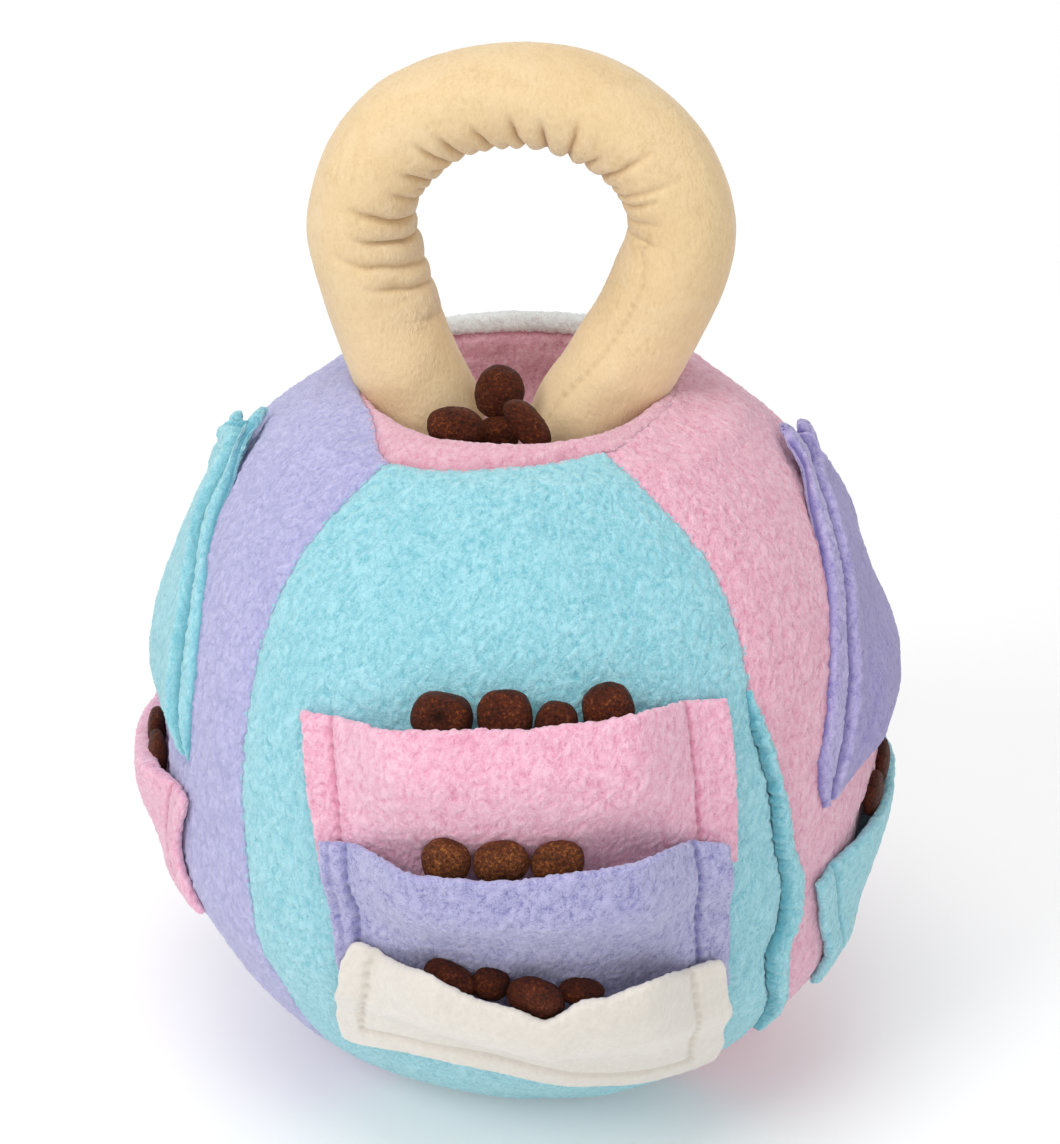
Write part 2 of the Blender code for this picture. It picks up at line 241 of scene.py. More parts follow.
def build(name, verts, faces, mat, body, nodes=(), marks=None):
    """A shown piece from points in millimetres and arrays of quads and triangles. marks are values at its points."""
    me = bpy.data.meshes.new(name)
    me.vertices.add(len(verts))
    me.vertices.foreach_set("co", (np.asarray(verts) * MM).astype(np.float32).ravel())
    loops = np.concatenate([f.ravel() for f in faces]).astype(np.int32)
    sizes = np.concatenate([np.full(len(f), f.shape[1]) for f in faces])
    me.loops.add(len(loops))
    me.loops.foreach_set("vertex_index", loops)
    me.polygons.add(len(sizes))
    me.polygons.foreach_set("loop_start", np.r_[0, np.cumsum(sizes)[:-1]].astype(np.int32))
    me.update(calc_edges=True)
    me.validate()
    for key, values in (marks or {}).items():
        me.attributes.new(key, "FLOAT", "POINT").data.foreach_set("value", np.asarray(values, np.float32))
    me.shade_smooth()
    me.materials.append(mat)
    obj = bpy.data.objects.new(name, me)
    bpy.context.scene.collection.objects.link(obj)
    if body:
        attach(obj, body)
    if nodes:
        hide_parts(*nodes)
    return obj


def streaked(p, direction, stretch):
    d = np.array(direction, float)
    d /= np.linalg.norm(d)
    return p - np.outer(p @ d, d) * (1 - 1 / stretch)


def nap_height(p, seed, size=1.0, direction=(0.55, 0.1, 0.83), stretch=1.6):
    """Height of the fleece's nap, 0 in the pits and 1 on the clumps, at points in millimetres."""
    s = streaked(p, direction, stretch) / size
    wander = np.stack([noise(s / 3.1, seed + 1), noise(s / 3.1 + 9.7, seed + 2), noise(s / 3.1 + 21.3, seed + 3)], 1)
    s = s + wander * 1.1
    clumps = np.abs(noise(s / 2.0, seed + 4))
    curls = np.abs(noise(s / 0.95, seed + 5))
    fine = noise(s / 0.5, seed + 6)
    h = 0.15 + 0.78 * np.sqrt(np.clip(clumps * 1.7, 0, 1)) * 0.75 + 0.42 * np.clip(curls * 1.6, 0, 1) + 0.12 * fine
    return np.clip(h, 0, 1.25)


def spaced(length, step, rim=0.0):
    """Places from 0 to 1 along a length in millimetres, closer together in a rim at each end."""
    if rim:
        near = np.array([0.0, 0.12, 0.3, 0.55, 0.85, 1.15])
        inner = np.arange(1.15 + step, length - 1.15 - step / 2, step)
        x = np.r_[near, inner, (length - near)[::-1]]
    else:
        x = np.linspace(0, length, max(3, int(round(length / step)) + 1))
    return x / length


# --------------------------------------------------------------- materials


def srgb(r, g, b):
    def lin(c):
        c /= 255.0
        return c / 12.92 if c <= 0.04045 else ((c + 0.055) / 1.055) ** 2.4

    return (lin(r), lin(g), lin(b), 1.0)


class Nodes:
    """A short way to write a material's nodes."""

    def __init__(self, name):
        self.mat = bpy.data.materials.new(name)
        self.mat.use_nodes = True
        self.tree = self.mat.node_tree
        self.shader = self.tree.nodes["Principled BSDF"]
        self.coords = self.tree.nodes.new("ShaderNodeTexCoord").outputs["Object"]

    def link(self, a, b):
        self.tree.links.new(a, b)

    def node(self, kind, **values):
        n = self.tree.nodes.new(kind)
        for key, value in values.items():
            if key.startswith("set_"):
                setattr(n, key[4:], value)
            else:
                n.inputs[key.replace("_", " ")].default_value = value
        return n

    def noise(self, scale, detail=3.0, rough=0.55, vector=None, distortion=0.0):
        n = self.node("ShaderNodeTexNoise", Scale=scale, Detail=detail, Roughness=rough, Distortion=distortion)
        self.link(vector or self.coords, n.inputs["Vector"])
        return n.outputs["Fac"]

    def stretched(self, scale, rotation=(0, 0, 0)):
        n = self.node("ShaderNodeMapping")
        n.inputs["Scale"].default_value = scale
        n.inputs["Rotation"].default_value = rotation
        self.link(self.coords, n.inputs["Vector"])
        return n.outputs["Vector"]

    def mark(self, name):
        n = self.node("ShaderNodeAttribute")
        n.attribute_name = name
        return n.outputs["Fac"]

    def ramp(self, fac, stops, interpolation="LINEAR"):
        n = self.node("ShaderNodeValToRGB")
        n.color_ramp.interpolation = interpolation
        el = n.color_ramp.elements
        while len(el) < len(stops):
            el.new(0.5)
        for e, (at, colour) in zip(el, stops):
            e.position = at
            e.color = colour
        self.link(fac, n.inputs["Fac"])
        return n.outputs["Color"]

    def mix(self, fac, a, b, blend="MIX"):
        n = self.node("ShaderNodeMix", set_data_type="RGBA", set_blend_type=blend)
        ins = [s for s in n.inputs if s.enabled]
        for value, socket in zip((fac, a, b), ins):
            if isinstance(value, bpy.types.NodeSocket):
                self.link(value, socket)
            else:
                socket.default_value = value
        return [o for o in n.outputs if o.enabled][0]

    def math(self, kind, a, b=0.0, clamp=False):
        n = self.node("ShaderNodeMath", set_operation=kind, set_use_clamp=clamp)
        for value, socket in ((a, n.inputs[0]), (b, n.inputs[1])):
            if isinstance(value, bpy.types.NodeSocket):
                self.link(value, socket)
            else:
                socket.default_value = value
        return n.outputs[0]

    def bump(self, height, distance, strength=1.0):
        n = self.node("ShaderNodeBump", Distance=distance, Strength=strength)
        self.link(height, n.inputs["Height"])
        self.link(n.outputs["Normal"], self.shader.inputs["Normal"])


def tint(colour, times):
    return tuple(min(1.0, c * t) for c, t in zip(colour[:3], times if hasattr(times, "__len__") else (times,) * 3)) + (1.0,)


def fleece(name, colour, deep, pale, sheen=0.5, sheen_tint=(1, 1, 1, 1), contrast=1.0, beside=None, soft=0.3, relief=1.0):
    """Short, soft, curly pile in loose slanting rows: pale tips and deeper between them, partly the pile's own mottle
    and partly painted light on the tips and painted shade in the pits between the clumps.

    beside holds the colours on the left, the right and above, whose pile reaches over the seam.
    """
    m = Nodes(name)
    nap = m.mark("nap")
    crease = m.mark("crease")
    slant = m.stretched((1.0, 1.0, 0.55), (0.0, 0.55, 0.0))
    rows = m.noise(900.0, 3.0, 0.62, slant, 0.6)
    curls = m.noise(470.0, 2.5, 0.5, slant, 1.6)
    fibre = m.noise(2700.0, 2.0, 0.7)
    patchy = m.noise(70.0, 3.0, 0.55)
    height = m.math("MULTIPLY_ADD", rows, 1.3)
    height.node.inputs[2].default_value = -0.12
    height = m.math("ADD", height, m.math("MULTIPLY", m.math("SUBTRACT", fibre, 0.5), 1.5 * contrast))
    height = m.math("ADD", height, m.math("MULTIPLY", m.math("SUBTRACT", curls, 0.5), 1.25))
    height = m.math("ADD", height, m.math("MULTIPLY", m.math("SUBTRACT", nap, 0.6), 0.62), clamp=True)
    times = lambda t: tuple(1 - (1 - d) * contrast * t for d in deep)
    # painted light and shade: the pile's height and the nap mark run from the deep tone, as painted shade in the pits,
    # to the pale tone, as painted light on the tips
    body = m.ramp(height, [(0.0, tint(colour, times(1.35))), (0.2, tint(colour, times(0.75))), (0.46, tint(colour, times(0.16))), (0.7, tint(colour, tuple(1 + (c - 1) * 0.36 for c in pale))), (1.0, tint(colour, pale))])
    body = m.mix(m.math("MULTIPLY", m.math("SUBTRACT", patchy, 0.48), 0.8, clamp=True), body, tint(colour, times(0.8)))
    if beside:
        reach = m.noise(1250.0, 2.0, 0.6, slant)
        loose = m.math("MULTIPLY", m.math("SUBTRACT", reach, 0.5), 7.0)
        for mark, other in zip(("over_left", "over_right", "over_top"), beside):
            near = m.math("MULTIPLY_ADD", m.mark(mark), 3.0)
            near.node.inputs[2].default_value = -2.55
            body = m.mix(m.math("ADD", near, loose, clamp=True), body, tint(other, 1.02))
    # painted shade: the crease mark darkens the pile in seams, stitched grooves and creases, beside the flaps' edges
    # and on the right flap's face
    body = m.mix(m.math("MULTIPLY", crease, 0.9, clamp=True), body, tint(colour, tuple(d**2.6 for d in deep)))
    m.link(body, m.shader.inputs["Base Color"])
    m.shader.inputs["Roughness"].default_value = 0.95
    m.shader.inputs["Specular IOR Level"].default_value = 0.05
    m.shader.inputs["Subsurface Weight"].default_value = soft
    m.shader.inputs["Subsurface Radius"].default_value = (1.0, 0.9, 0.95)
    m.shader.inputs["Subsurface Scale"].default_value = 0.0011
    m.shader.inputs["Sheen Weight"].default_value = sheen
    m.shader.inputs["Sheen Roughness"].default_value = 0.55
    m.shader.inputs["Sheen Tint"].default_value = sheen_tint
    m.bump(m.math("ADD", m.math("ADD", rows, m.math("MULTIPLY", curls, 0.85)), m.math("MULTIPLY", fibre, 0.85)), 0.0006, 0.8 * relief)
    return m.mat


def velvet(name, colour):
    """Very short pile, mottled where it is brushed both ways, with painted highlights on the tips of the folds, painted
    light on the legs and painted shade in the creases.
    """
    m = Nodes(name)
    crease = m.mark("crease")
    tips = m.mark("tips")
    legs = m.mark("legs")
    pile = m.noise(1350.0, 3.0, 0.7, m.stretched((1.0, 1.0, 0.5), (0.0, 0.5, 0.0)))
    streaks = m.noise(420.0, 3.0, 0.6, m.stretched((1.0, 1.0, 0.5), (0.0, 0.35, 0.0)), 0.8)
    grain = m.math("ADD", m.math("MULTIPLY", pile, 0.62), m.math("MULTIPLY", streaks, 0.38))
    worn = m.noise(46.0, 3.0, 0.6, distortion=0.5)
    # painted highlight: the tips mark raises the grain's contrast on the tips of the folds
    depth = m.math("ADD", m.math("MULTIPLY", tips, 0.9), m.math("MULTIPLY", worn, 1.3))
    brushed = m.math("ADD", m.math("MULTIPLY", m.math("SUBTRACT", grain, 0.5), depth), 0.5, clamp=True)
    body = m.ramp(brushed, [(0.3, tint(colour, (0.80, 0.74, 0.68))), (0.5, colour), (0.68, tint(colour, (1.10, 1.12, 1.20)))])
    swept = m.noise(64.0, 4.0, 0.62, distortion=0.9)
    body = m.mix(m.math("MULTIPLY", m.math("SUBTRACT", swept, 0.46), 2.0, clamp=True), body, tint(colour, (1.06, 1.12, 1.28)))
    rubbed = m.noise(38.0, 4.0, 0.62, distortion=0.6)
    body = m.mix(m.math("MULTIPLY", m.math("SUBTRACT", rubbed, 0.5), 1.8, clamp=True), body, tint(colour, (0.95, 0.91, 0.85)))
    # painted highlight: paler on the tips of the folds
    body = m.mix(m.math("MULTIPLY", tips, 0.62, clamp=True), body, tint(colour, (0.90, 0.93, 1.10)))
    # painted highlight on the fold tips and painted light on the legs: paler where the grain stands high
    body = m.mix(m.math("MULTIPLY", m.math("SUBTRACT", brushed, 0.52), m.math("ADD", m.math("MULTIPLY", tips, 8.0), m.math("MULTIPLY", legs, 3.0)), clamp=True), body, tint(colour, (1.10, 1.15, 1.38)))
    # painted light: the legs, lower down, are lighter all over
    body = m.mix(m.math("MULTIPLY", legs, m.math("ADD", 0.35, m.math("MULTIPLY", brushed, 0.8)), clamp=True), body, tint(colour, (1.16, 1.19, 1.27)))
    # painted shade: darker in the gathers' creases and along the tube's seam
    body = m.mix(m.math("MULTIPLY", crease, 0.8, clamp=True), body, tint(colour, (0.60, 0.49, 0.42)))
    m.link(body, m.shader.inputs["Base Color"])
    m.shader.inputs["Roughness"].default_value = 0.85
    m.shader.inputs["Specular IOR Level"].default_value = 0.12
    m.shader.inputs["Sheen Weight"].default_value = 0.5
    m.shader.inputs["Sheen Roughness"].default_value = 0.4
    m.shader.inputs["Sheen Tint"].default_value = (1.0, 0.93, 0.86, 1)
    m.bump(m.math("ADD", m.math("MULTIPLY", grain, 0.5), m.math("MULTIPLY", brushed, 0.7)), 0.0005, 0.9)
    return m.mat


def baked_food(name, dark, mid, gold, gold_share=0.5):
    m = Nodes(name)
    grain = m.noise(1500.0, 6.0, 0.78)
    blotch = m.noise(260.0, 3.0, 0.6)
    fac = m.math("ADD", m.math("MULTIPLY", grain, 0.8), m.math("MULTIPLY", blotch, 0.2))
    body = m.ramp(fac, [(0.38, tint(dark, 0.8)), (0.48, mid), (0.575 - 0.03 * gold_share, tint(mid, (1.7, 1.55, 1.35))), (0.66 - 0.05 * gold_share, tint(gold, 1.5))])
    pits = m.node("ShaderNodeTexVoronoi", Scale=1300.0)
    m.link(m.coords, pits.inputs["Vector"])
    body = m.mix(m.math("MULTIPLY", m.math("SUBTRACT", 0.25, pits.outputs["Distance"]), 1.6, clamp=True), body, tint(dark, 0.7))
    # painted shade: darker in the dimple
    hollow = m.mark("crease")
    body = m.mix(m.math("MULTIPLY", hollow, 0.8, clamp=True), body, tint(dark, 0.55))
    m.link(body, m.shader.inputs["Base Color"])
    m.link(m.ramp(grain, [(0.3, (0.42,) * 3 + (1,)), (0.7, (0.68,) * 3 + (1,))]), m.shader.inputs["Roughness"])
    m.shader.inputs["Specular IOR Level"].default_value = 0.2
    m.bump(m.math("ADD", grain, m.math("MULTIPLY", pits.outputs["Distance"], 0.5)), 0.0008, 0.9)
    return m.mat


def fibrefill(name):
    m = Nodes(name)
    wisps = m.noise(420.0, 6.0, 0.7, distortion=1.6)
    m.link(m.ramp(wisps, [(0.3, (0.62, 0.62, 0.62, 1)), (0.7, (0.92, 0.92, 0.91, 1))]), m.shader.inputs["Base Color"])
    m.shader.inputs["Roughness"].default_value = 0.95
    m.shader.inputs["Sheen Weight"].default_value = 0.3
    m.bump(wisps, 0.0008, 0.8)
    return m.mat


C_AQUA, C_LAVENDER, C_PINK, C_GORE_PINK, C_WHITE, C_LINING = srgb(151, 209, 221), srgb(175, 174, 216), srgb(239, 181, 203), srgb(233, 176, 196), srgb(242, 240, 237), srgb(236, 185, 203)
# Each pile's deeper and paler tone: the deeper one gives its random mottle and the painted shade in its pits, seams and
# creases, the paler one the painted light on its tips.
ON_AQUA, ON_LAVENDER, ON_PINK, ON_WHITE = ((0.64, 0.84, 0.87), (1.33, 1.17, 1.14)), ((0.70, 0.70, 0.84), (1.28, 1.26, 1.18)), ((0.86, 0.62, 0.71), (1.09, 1.27, 1.18)), ((0.88, 0.86, 0.84), (1.05, 1.05, 1.05))
AQUA = fleece("aqua_fleece", C_AQUA, *ON_AQUA, sheen_tint=(0.85, 1, 1, 1))
LAVENDER = fleece("lavender_fleece", C_LAVENDER, *ON_LAVENDER, sheen_tint=(0.9, 0.9, 1, 1))
PINK = fleece("pink_fleece", C_PINK, *ON_PINK, sheen_tint=(1, 0.9, 0.95, 1), contrast=0.8)
GORE_PINK = fleece("pink_gore_fleece", C_GORE_PINK, *ON_PINK, contrast=0.85, sheen_tint=(1, 0.9, 0.95, 1), beside=(C_AQUA, C_WHITE, C_LINING))
GORE_AQUA = fleece("aqua_gore_fleece", C_AQUA, *ON_AQUA, sheen_tint=(0.85, 1, 1, 1), beside=(C_LAVENDER, C_GORE_PINK, C_LINING))
GORE_LAVENDER = fleece("lavender_gore_fleece", C_LAVENDER, *ON_LAVENDER, contrast=0.65, sheen_tint=(0.9, 0.9, 1, 1), beside=(C_WHITE, C_AQUA, C_LINING))
GORE_WHITE = fleece("white_gore_fleece", srgb(239, 245, 247), *ON_WHITE, contrast=0.7, beside=(C_GORE_PINK, C_LAVENDER, C_LINING))
WHITE = fleece("white_fleece", srgb(218, 212, 203), *ON_WHITE, contrast=0.35, sheen=0.4, relief=0.4)
POCKET_LAVENDER = fleece("lavender_pocket_fleece", srgb(171, 170, 209), *ON_LAVENDER, sheen_tint=(0.9, 0.9, 1, 1), contrast=1.25)
FLAP_LAVENDER = fleece("lavender_flap_fleece", srgb(177, 169, 213), (0.62, 0.58, 0.80), (1.25, 1.25, 1.15), sheen_tint=(0.9, 0.88, 1, 1), sheen=0.5, contrast=0.8)
LINING = fleece("mouth_lining_fleece", srgb(225, 172, 189), *ON_PINK, contrast=0.7, sheen_tint=(1, 0.9, 0.95, 1))
CREAM = velvet("cream_velvet", srgb(222, 195, 151))
KIBBLE = baked_food("kibble_dark", srgb(36, 12, 6), srgb(76, 33, 17), srgb(134, 76, 36), 0.4)
KIBBLE_GOLD = baked_food("kibble_golden", srgb(52, 25, 14), srgb(98, 54, 29), srgb(150, 94, 46), 1.0)
FIBRE = fibrefill("polyester_fibre")

# ------------------------------------------------------------------- seams


def along(z, *pairs):
    """A value that runs through (z, value) pairs."""
    z0, value = np.array(sorted(pairs), float).T
    return np.interp(z, z0, value)


def fuzz(z, seed):
    """The seams' small wander, where the pile of one colour reaches over the other, in degrees."""
    return 0.30 * noise1(z / 2.2, seed) + 0.36 * noise1(z / 1.0, seed + 50)


def half_of(z, half):
    return along(z, *half)


HALF_LEFT = ((80, 31.7), (86.5, 32.2), (95, 32.4), (105, 31.9), (114.7, 29.4), (123, 25.0), (128, 20.4), (132.5, 17.0), (137, 14.6), (141.2, 11.0), (145, 7.0), (149, 6.0))
HALF_RIGHT = ((76, 31.5), (78.2, 32.2), (83.8, 33.4), (90.6, 32.9), (100, 30.2), (109, 27.2), (115, 25.2), (118, 23.6), (125, 20.3), (132.7, 16.0), (139, 11.0), (142, 7.5), (149, 6.0))


def seam_front_left(z):
    return smooth_table(z, ((0, -42.0), (30, -42.3), (60.7, -42.2), (84.6, -43.2), (103, -43.3), (120, -43.2), (133, -42.6), (141.6, -41.0), (147.5, -38.8), (154, -35.0), (158, -33))) + fuzz(z, 3)


def seam_front_right(z):
    return smooth_table(z, ((0, 52.5), (15, 52.5), (24, 52.3), (31, 50.8), (40, 48.4), (48, 48.3), (56, 49.6), (65, 49.4), (75.5, 47.6), (85, 46.6), (92, 45.8), (100, 44.3), (107, 43.2), (113, 43.4), (122, 44.0), (142, 41.5), (155.5, 33.0), (158, 31))) + fuzz(z, 5)


def seam_back_right(z):
    return 135.0 + 1.0 * noise1(np.asarray(z) / 22.0, 7) + fuzz(z, 8)


def seam_back_left(z):
    return -135.0 + 1.0 * noise1(np.asarray(z) / 22.0, 9) + fuzz(z, 10)


def rim_seam(azimuth):
    """Arc length at which the gores end and the lining of the mouth begins."""
    a = (np.asarray(azimuth) + 180.0) % 360.0 - 180.0
    s = smooth_table(a, ((-180, 5.2), (-130, 4.2), (-105, 2.0), (-88, 1.6), (-72, 0.8), (-60, -0.6), (-50, -3.4), (-41, -6.4), (-34, -7.5), (-24, -7.3), (-13, -6.3), (1, -5.3), (14, -4.6), (28, -4.3), (36, -4.3), (50, -3.0), (75, -1.6), (95, -0.2), (130, 4.0), (180, 5.2)))
    s = s + 0.3 * noise1(a / 3.1, 31) + 0.22 * noise1(a / 1.3, 32)
    return Q_CREST + s


def body_form(p):
    """The stuffing's soft lumps under the gores, in millimetres along the normal."""
    side = np.abs(np.degrees(np.arctan2(p[..., 0], -p[..., 1])) - 102.0)
    slim = 3.0 * ease((34.0 - side) / 20.0) * ease((60.0 - p[..., 2]) / 16.0) * ease((p[..., 2] - 10.0) / 14.0)
    return 0.75 * noise(p / 34.0, 40) + 0.32 * noise(p / 13.0, 41) - slim


def settle(p):
    """The ball's lower end hangs a little to the right."""
    p = p.copy()
    p[..., 0] += 2.9 * ease((51.0 - p[..., 2]) / 18.0)
    return p


def finish_fleece(verts, faces, seed, height, quiet=None, size=1.0, direction=(0.55, 0.1, 0.83), stretch=1.6):
    """Lifts the nap out of a smooth cloth. quiet (0 to 1) holds it down where the cloth is sewn."""
    n = normals_of(verts, faces)
    h = nap_height(verts, seed, size, direction, stretch)
    amount = height * (h - 0.55)
    if quiet is not None:
        amount = amount * (1 - quiet)
    return verts + n * amount[:, None], h


def pressed(azimuth, z):
    """How far the flaps sewn over the side gores flatten them, in millimetres."""
    total = 0.0
    for side, half in ((-90.0, HALF_LEFT), (90.0, HALF_RIGHT)):
        inside = (half_of(z, half) - np.abs(((azimuth - side + 180.0) % 360.0) - 180.0)) * 1.25
        total = total + 1.7 * ease(inside / 4.0) * ease((z - 80.0) / 6.0) * ease((147.0 - z) / 5.0)
    for side, z_top in ((-90.0, 78.0), (90.0, 66.0)):
        near = np.abs(((azimuth - side + 180.0) % 360.0) - 180.0)
        total = total + 1.6 * ease((22.0 - near) / 8.0) * ease((z_top + 6.0 - z) / 4.0) * ease((z - z_top + 22.0) / 8.0)
    return total


def gore(name, left, right, mat, node, seed, direction):
    step = 0.52 * COARSE
    rows, cols = int(Q_CREST / step), int(126.0 / step)
    u = np.linspace(0, 1, cols)[None, :]
    v = np.linspace(0, 1, rows)[:, None]
    top_left, top_right = float(left(156.0)), float(right(156.0))
    if top_right < top_left:
        top_right += 360.0
    q = v * rim_seam(top_left + (top_right - top_left) * u)
    z = np.interp(q, PQ, PZ)
    z = np.where(q > Q_CREST, PZ.max(), z)
    a0, a1 = left(z), right(z)
    a1 = np.where(a1 < a0, a1 + 360.0, a1)
    azimuth = a0 + (a1 - a0) * u
    r = np.interp(q, PQ, PR)
    d = np.minimum(u, 1 - u) * np.radians(a1 - a0) * r
    up = rim_seam(azimuth) - q
    # where lining and gore are both pink their pile hides the seam
    turned = (azimuth + 180.0) % 360.0 - 180.0
    shown = 1 - 0.95 * ease((turned - 18.0) / 14.0) * ease((128.0 - turned) / 14.0)
    off = -0.32 * bump(d, 0.6) - 0.3 * bump(d, 3.5) - (0.45 * bump(up, 0.7) + 0.35 * bump(up, 3.0)) * shown - 0.6 * bump(q, 2.0)
    base, _ = skin(azimuth, q, 0.0)
    off = off + body_form(base.reshape(-1, 3)).reshape(off.shape) * ease(d / 9.0) * ease(up / 10.0) * ease(q / 14.0)
    # puckers across the seam, where the stitches draw it in
    off = off - 0.15 * bump(d, 4.5) * np.abs(noise1(q / 2.6, seed)) * 2
    off = off - pressed(azimuth, z)
    if node == "gore_front_aqua":
        along_hem = ease((z - 20.0) / 8.0) * ease((112.0 - z) / 10.0)
        off = off - 1.2 * bump((1 - u) * np.radians(a1 - a0) * r, 1.0) * along_hem
    # the seam allowance turned in, out of sight
    deep_a = np.concatenate([azimuth[:, :1], azimuth[:, :1], azimuth, azimuth[:, -1:], azimuth[:, -1:]], 1)
    deep_q = np.concatenate([q[:, :1], q[:, :1], q, q[:, -1:], q[:, -1:]], 1)
    deep_o = np.concatenate([off[:, :1] - 2.2, off[:, :1] - 1.0, off, off[:, -1:] - 1.0, off[:, -1:] - 2.2], 1)
    p, _ = skin(deep_a, deep_q, deep_o)
    top, _ = skin(deep_a[-1:], deep_q[-1:] + 0.15, deep_o[-1:] - 1.6)
    p = np.concatenate([p, top], 0)
    cols2 = p.shape[1]
    verts = settle(p.reshape(-1, 3))
    faces = [grid_faces(p.shape[0], cols2)]
    pad = lambda x, fill: np.concatenate([np.pad(x, ((0, 0), (2, 2)), constant_values=fill), np.full((1, cols2), fill)], 0).ravel()
    quiet = np.clip(0.3 * pad(bump(d, 0.6), 1.0) + 0.4 * pad(bump(up, 0.7) * shown, 1.0), 0, 0.9)
    # painted shade: dark stitch holes along each seam and a little along the rim's seam
    stitch_holes = ease((noise1(q / 1.1, seed + 9) - 0.05) / 0.3)
    crease = bump(d, 0.5) * (0.04 + 0.3 * stitch_holes) + bump(up, 0.6) * 0.1 * shown
    # painted shade in the groove beside the hem
    if node == "gore_front_aqua":
        crease = crease + 0.9 * bump((1 - u) * np.radians(a1 - a0) * r, 0.9) * along_hem
    # painted shadow on the gore beside the flaps' edges
    for side, half, z0, z1 in ((-90.0, HALF_LEFT, 82.0, 145.0), (90.0, HALF_RIGHT, 78.0, 144.0)):
        beyond = (np.abs(((azimuth - side + 180.0) % 360.0) - 180.0) - half_of(z, half)) * 1.25
        crease = crease + 0.7 * bump(beyond + 0.2, 0.9) * ease((z - z0) / 3.0) * ease((z1 - z) / 3.0)
    crease = np.clip(pad(crease, 0.3), 0, 1)
    flat = area_of(verts, faces) * MM * MM
    verts, h = finish_fleece(verts, faces, seed, 0.6, quiet, 1.15, direction)
    verts[:, 2] = np.maximum(verts[:, 2], 0.05)
    marks = {"nap": h, "crease": crease, "over_left": pad(bump(u * np.radians(a1 - a0) * r, 1.0), 1.0), "over_right": pad(bump((1 - u) * np.radians(a1 - a0) * r, 1.0), 1.0), "over_top": pad(bump(up, 1.0), 1.0)}
    obj = build(name, verts, faces, mat, "ball", [node], marks)
    return obj


gore("front_gore_aqua", seam_front_left, seam_front_right, GORE_AQUA, "gore_front_aqua", 100, (0.55, 0.1, 0.83))
gore("right_gore_pink", seam_front_right, seam_back_right, GORE_PINK, "gore_right_pink", 120, (0.1, 0.5, 0.86))
gore("back_gore_white", seam_back_right, seam_back_left, GORE_WHITE, "gore_back_white", 140, (-0.55, 0.1, 0.83))
gore("left_gore_lavender", seam_back_left, seam_front_left, GORE_LAVENDER, "gore_left_lavender", 160, (0.1, -0.5, 0.86))


def mouth():
    step = 0.5 * COARSE
    cols = int(2 * math.pi * 40 / step)
    azimuth = (np.arange(cols) / cols * 360.0 - 180.0)[None, :]
    start = rim_seam(azimuth)
    rows = int((Q_END - Q_CREST + 7) / step)
    v = np.linspace(0, 1, rows)[:, None] ** 1.0
    q = start + (Q_END - start) * v
    up = q - start
    turned = (azimuth + 180.0) % 360.0 - 180.0
    shown = 1 - 0.95 * ease((turned - 18.0) / 14.0) * ease((128.0 - turned) / 14.0)
    off = -(1.0 * bump(up, 1.3) + 0.3 * bump(up, 3.5)) * shown
    base, _ = skin(azimuth, q, 0.0)
    inside = ease((q - Q_CREST - 3.0) / 6.0)
    lumps = noise(base.reshape(-1, 3) / 8.0, 61).reshape(q.shape)
    off = off + lumps * (0.25 + 0.9 * inside) * ease(up / 4.0) * ease((Q_END - q) / 10.0)
    p, _ = skin(azimuth, q, off)
    under, _ = skin(azimuth, start, off[:1] - 1.8)
    p = np.concatenate([under, p], 0)
    n_rows = p.shape[0]
    verts = p.reshape(-1, 3)
    centre = len(verts)
    verts = np.vstack([verts, [[0, 0, 138.8]]])
    last = (n_rows - 1) * cols + np.arange(cols)
    faces = [grid_faces(n_rows, cols, closed=True), np.stack([last, np.roll(last, -1), np.full(cols, centre)], 1)]
    pad = lambda x, first: np.r_[np.full(cols, first), np.broadcast_to(x, q.shape).ravel(), 0.0]
    quiet = np.clip(pad(bump(up, 1.2) * 0.6 * shown, 1.0), 0, 0.9)
    flat = area_of(verts, faces) * MM * MM
    verts, h = finish_fleece(verts, faces, 180, 0.5, quiet)
    # painted shade: the crease mark darkens the rim's seam
    obj = build("mouth_lining_pink", verts, faces, LINING, "ball", ["mouth_lining"], {"nap": h, "crease": pad(bump(up, 0.9) * 0.35 * shown, 1.0)})


mouth()

# ------------------------------------------------------------------ pockets


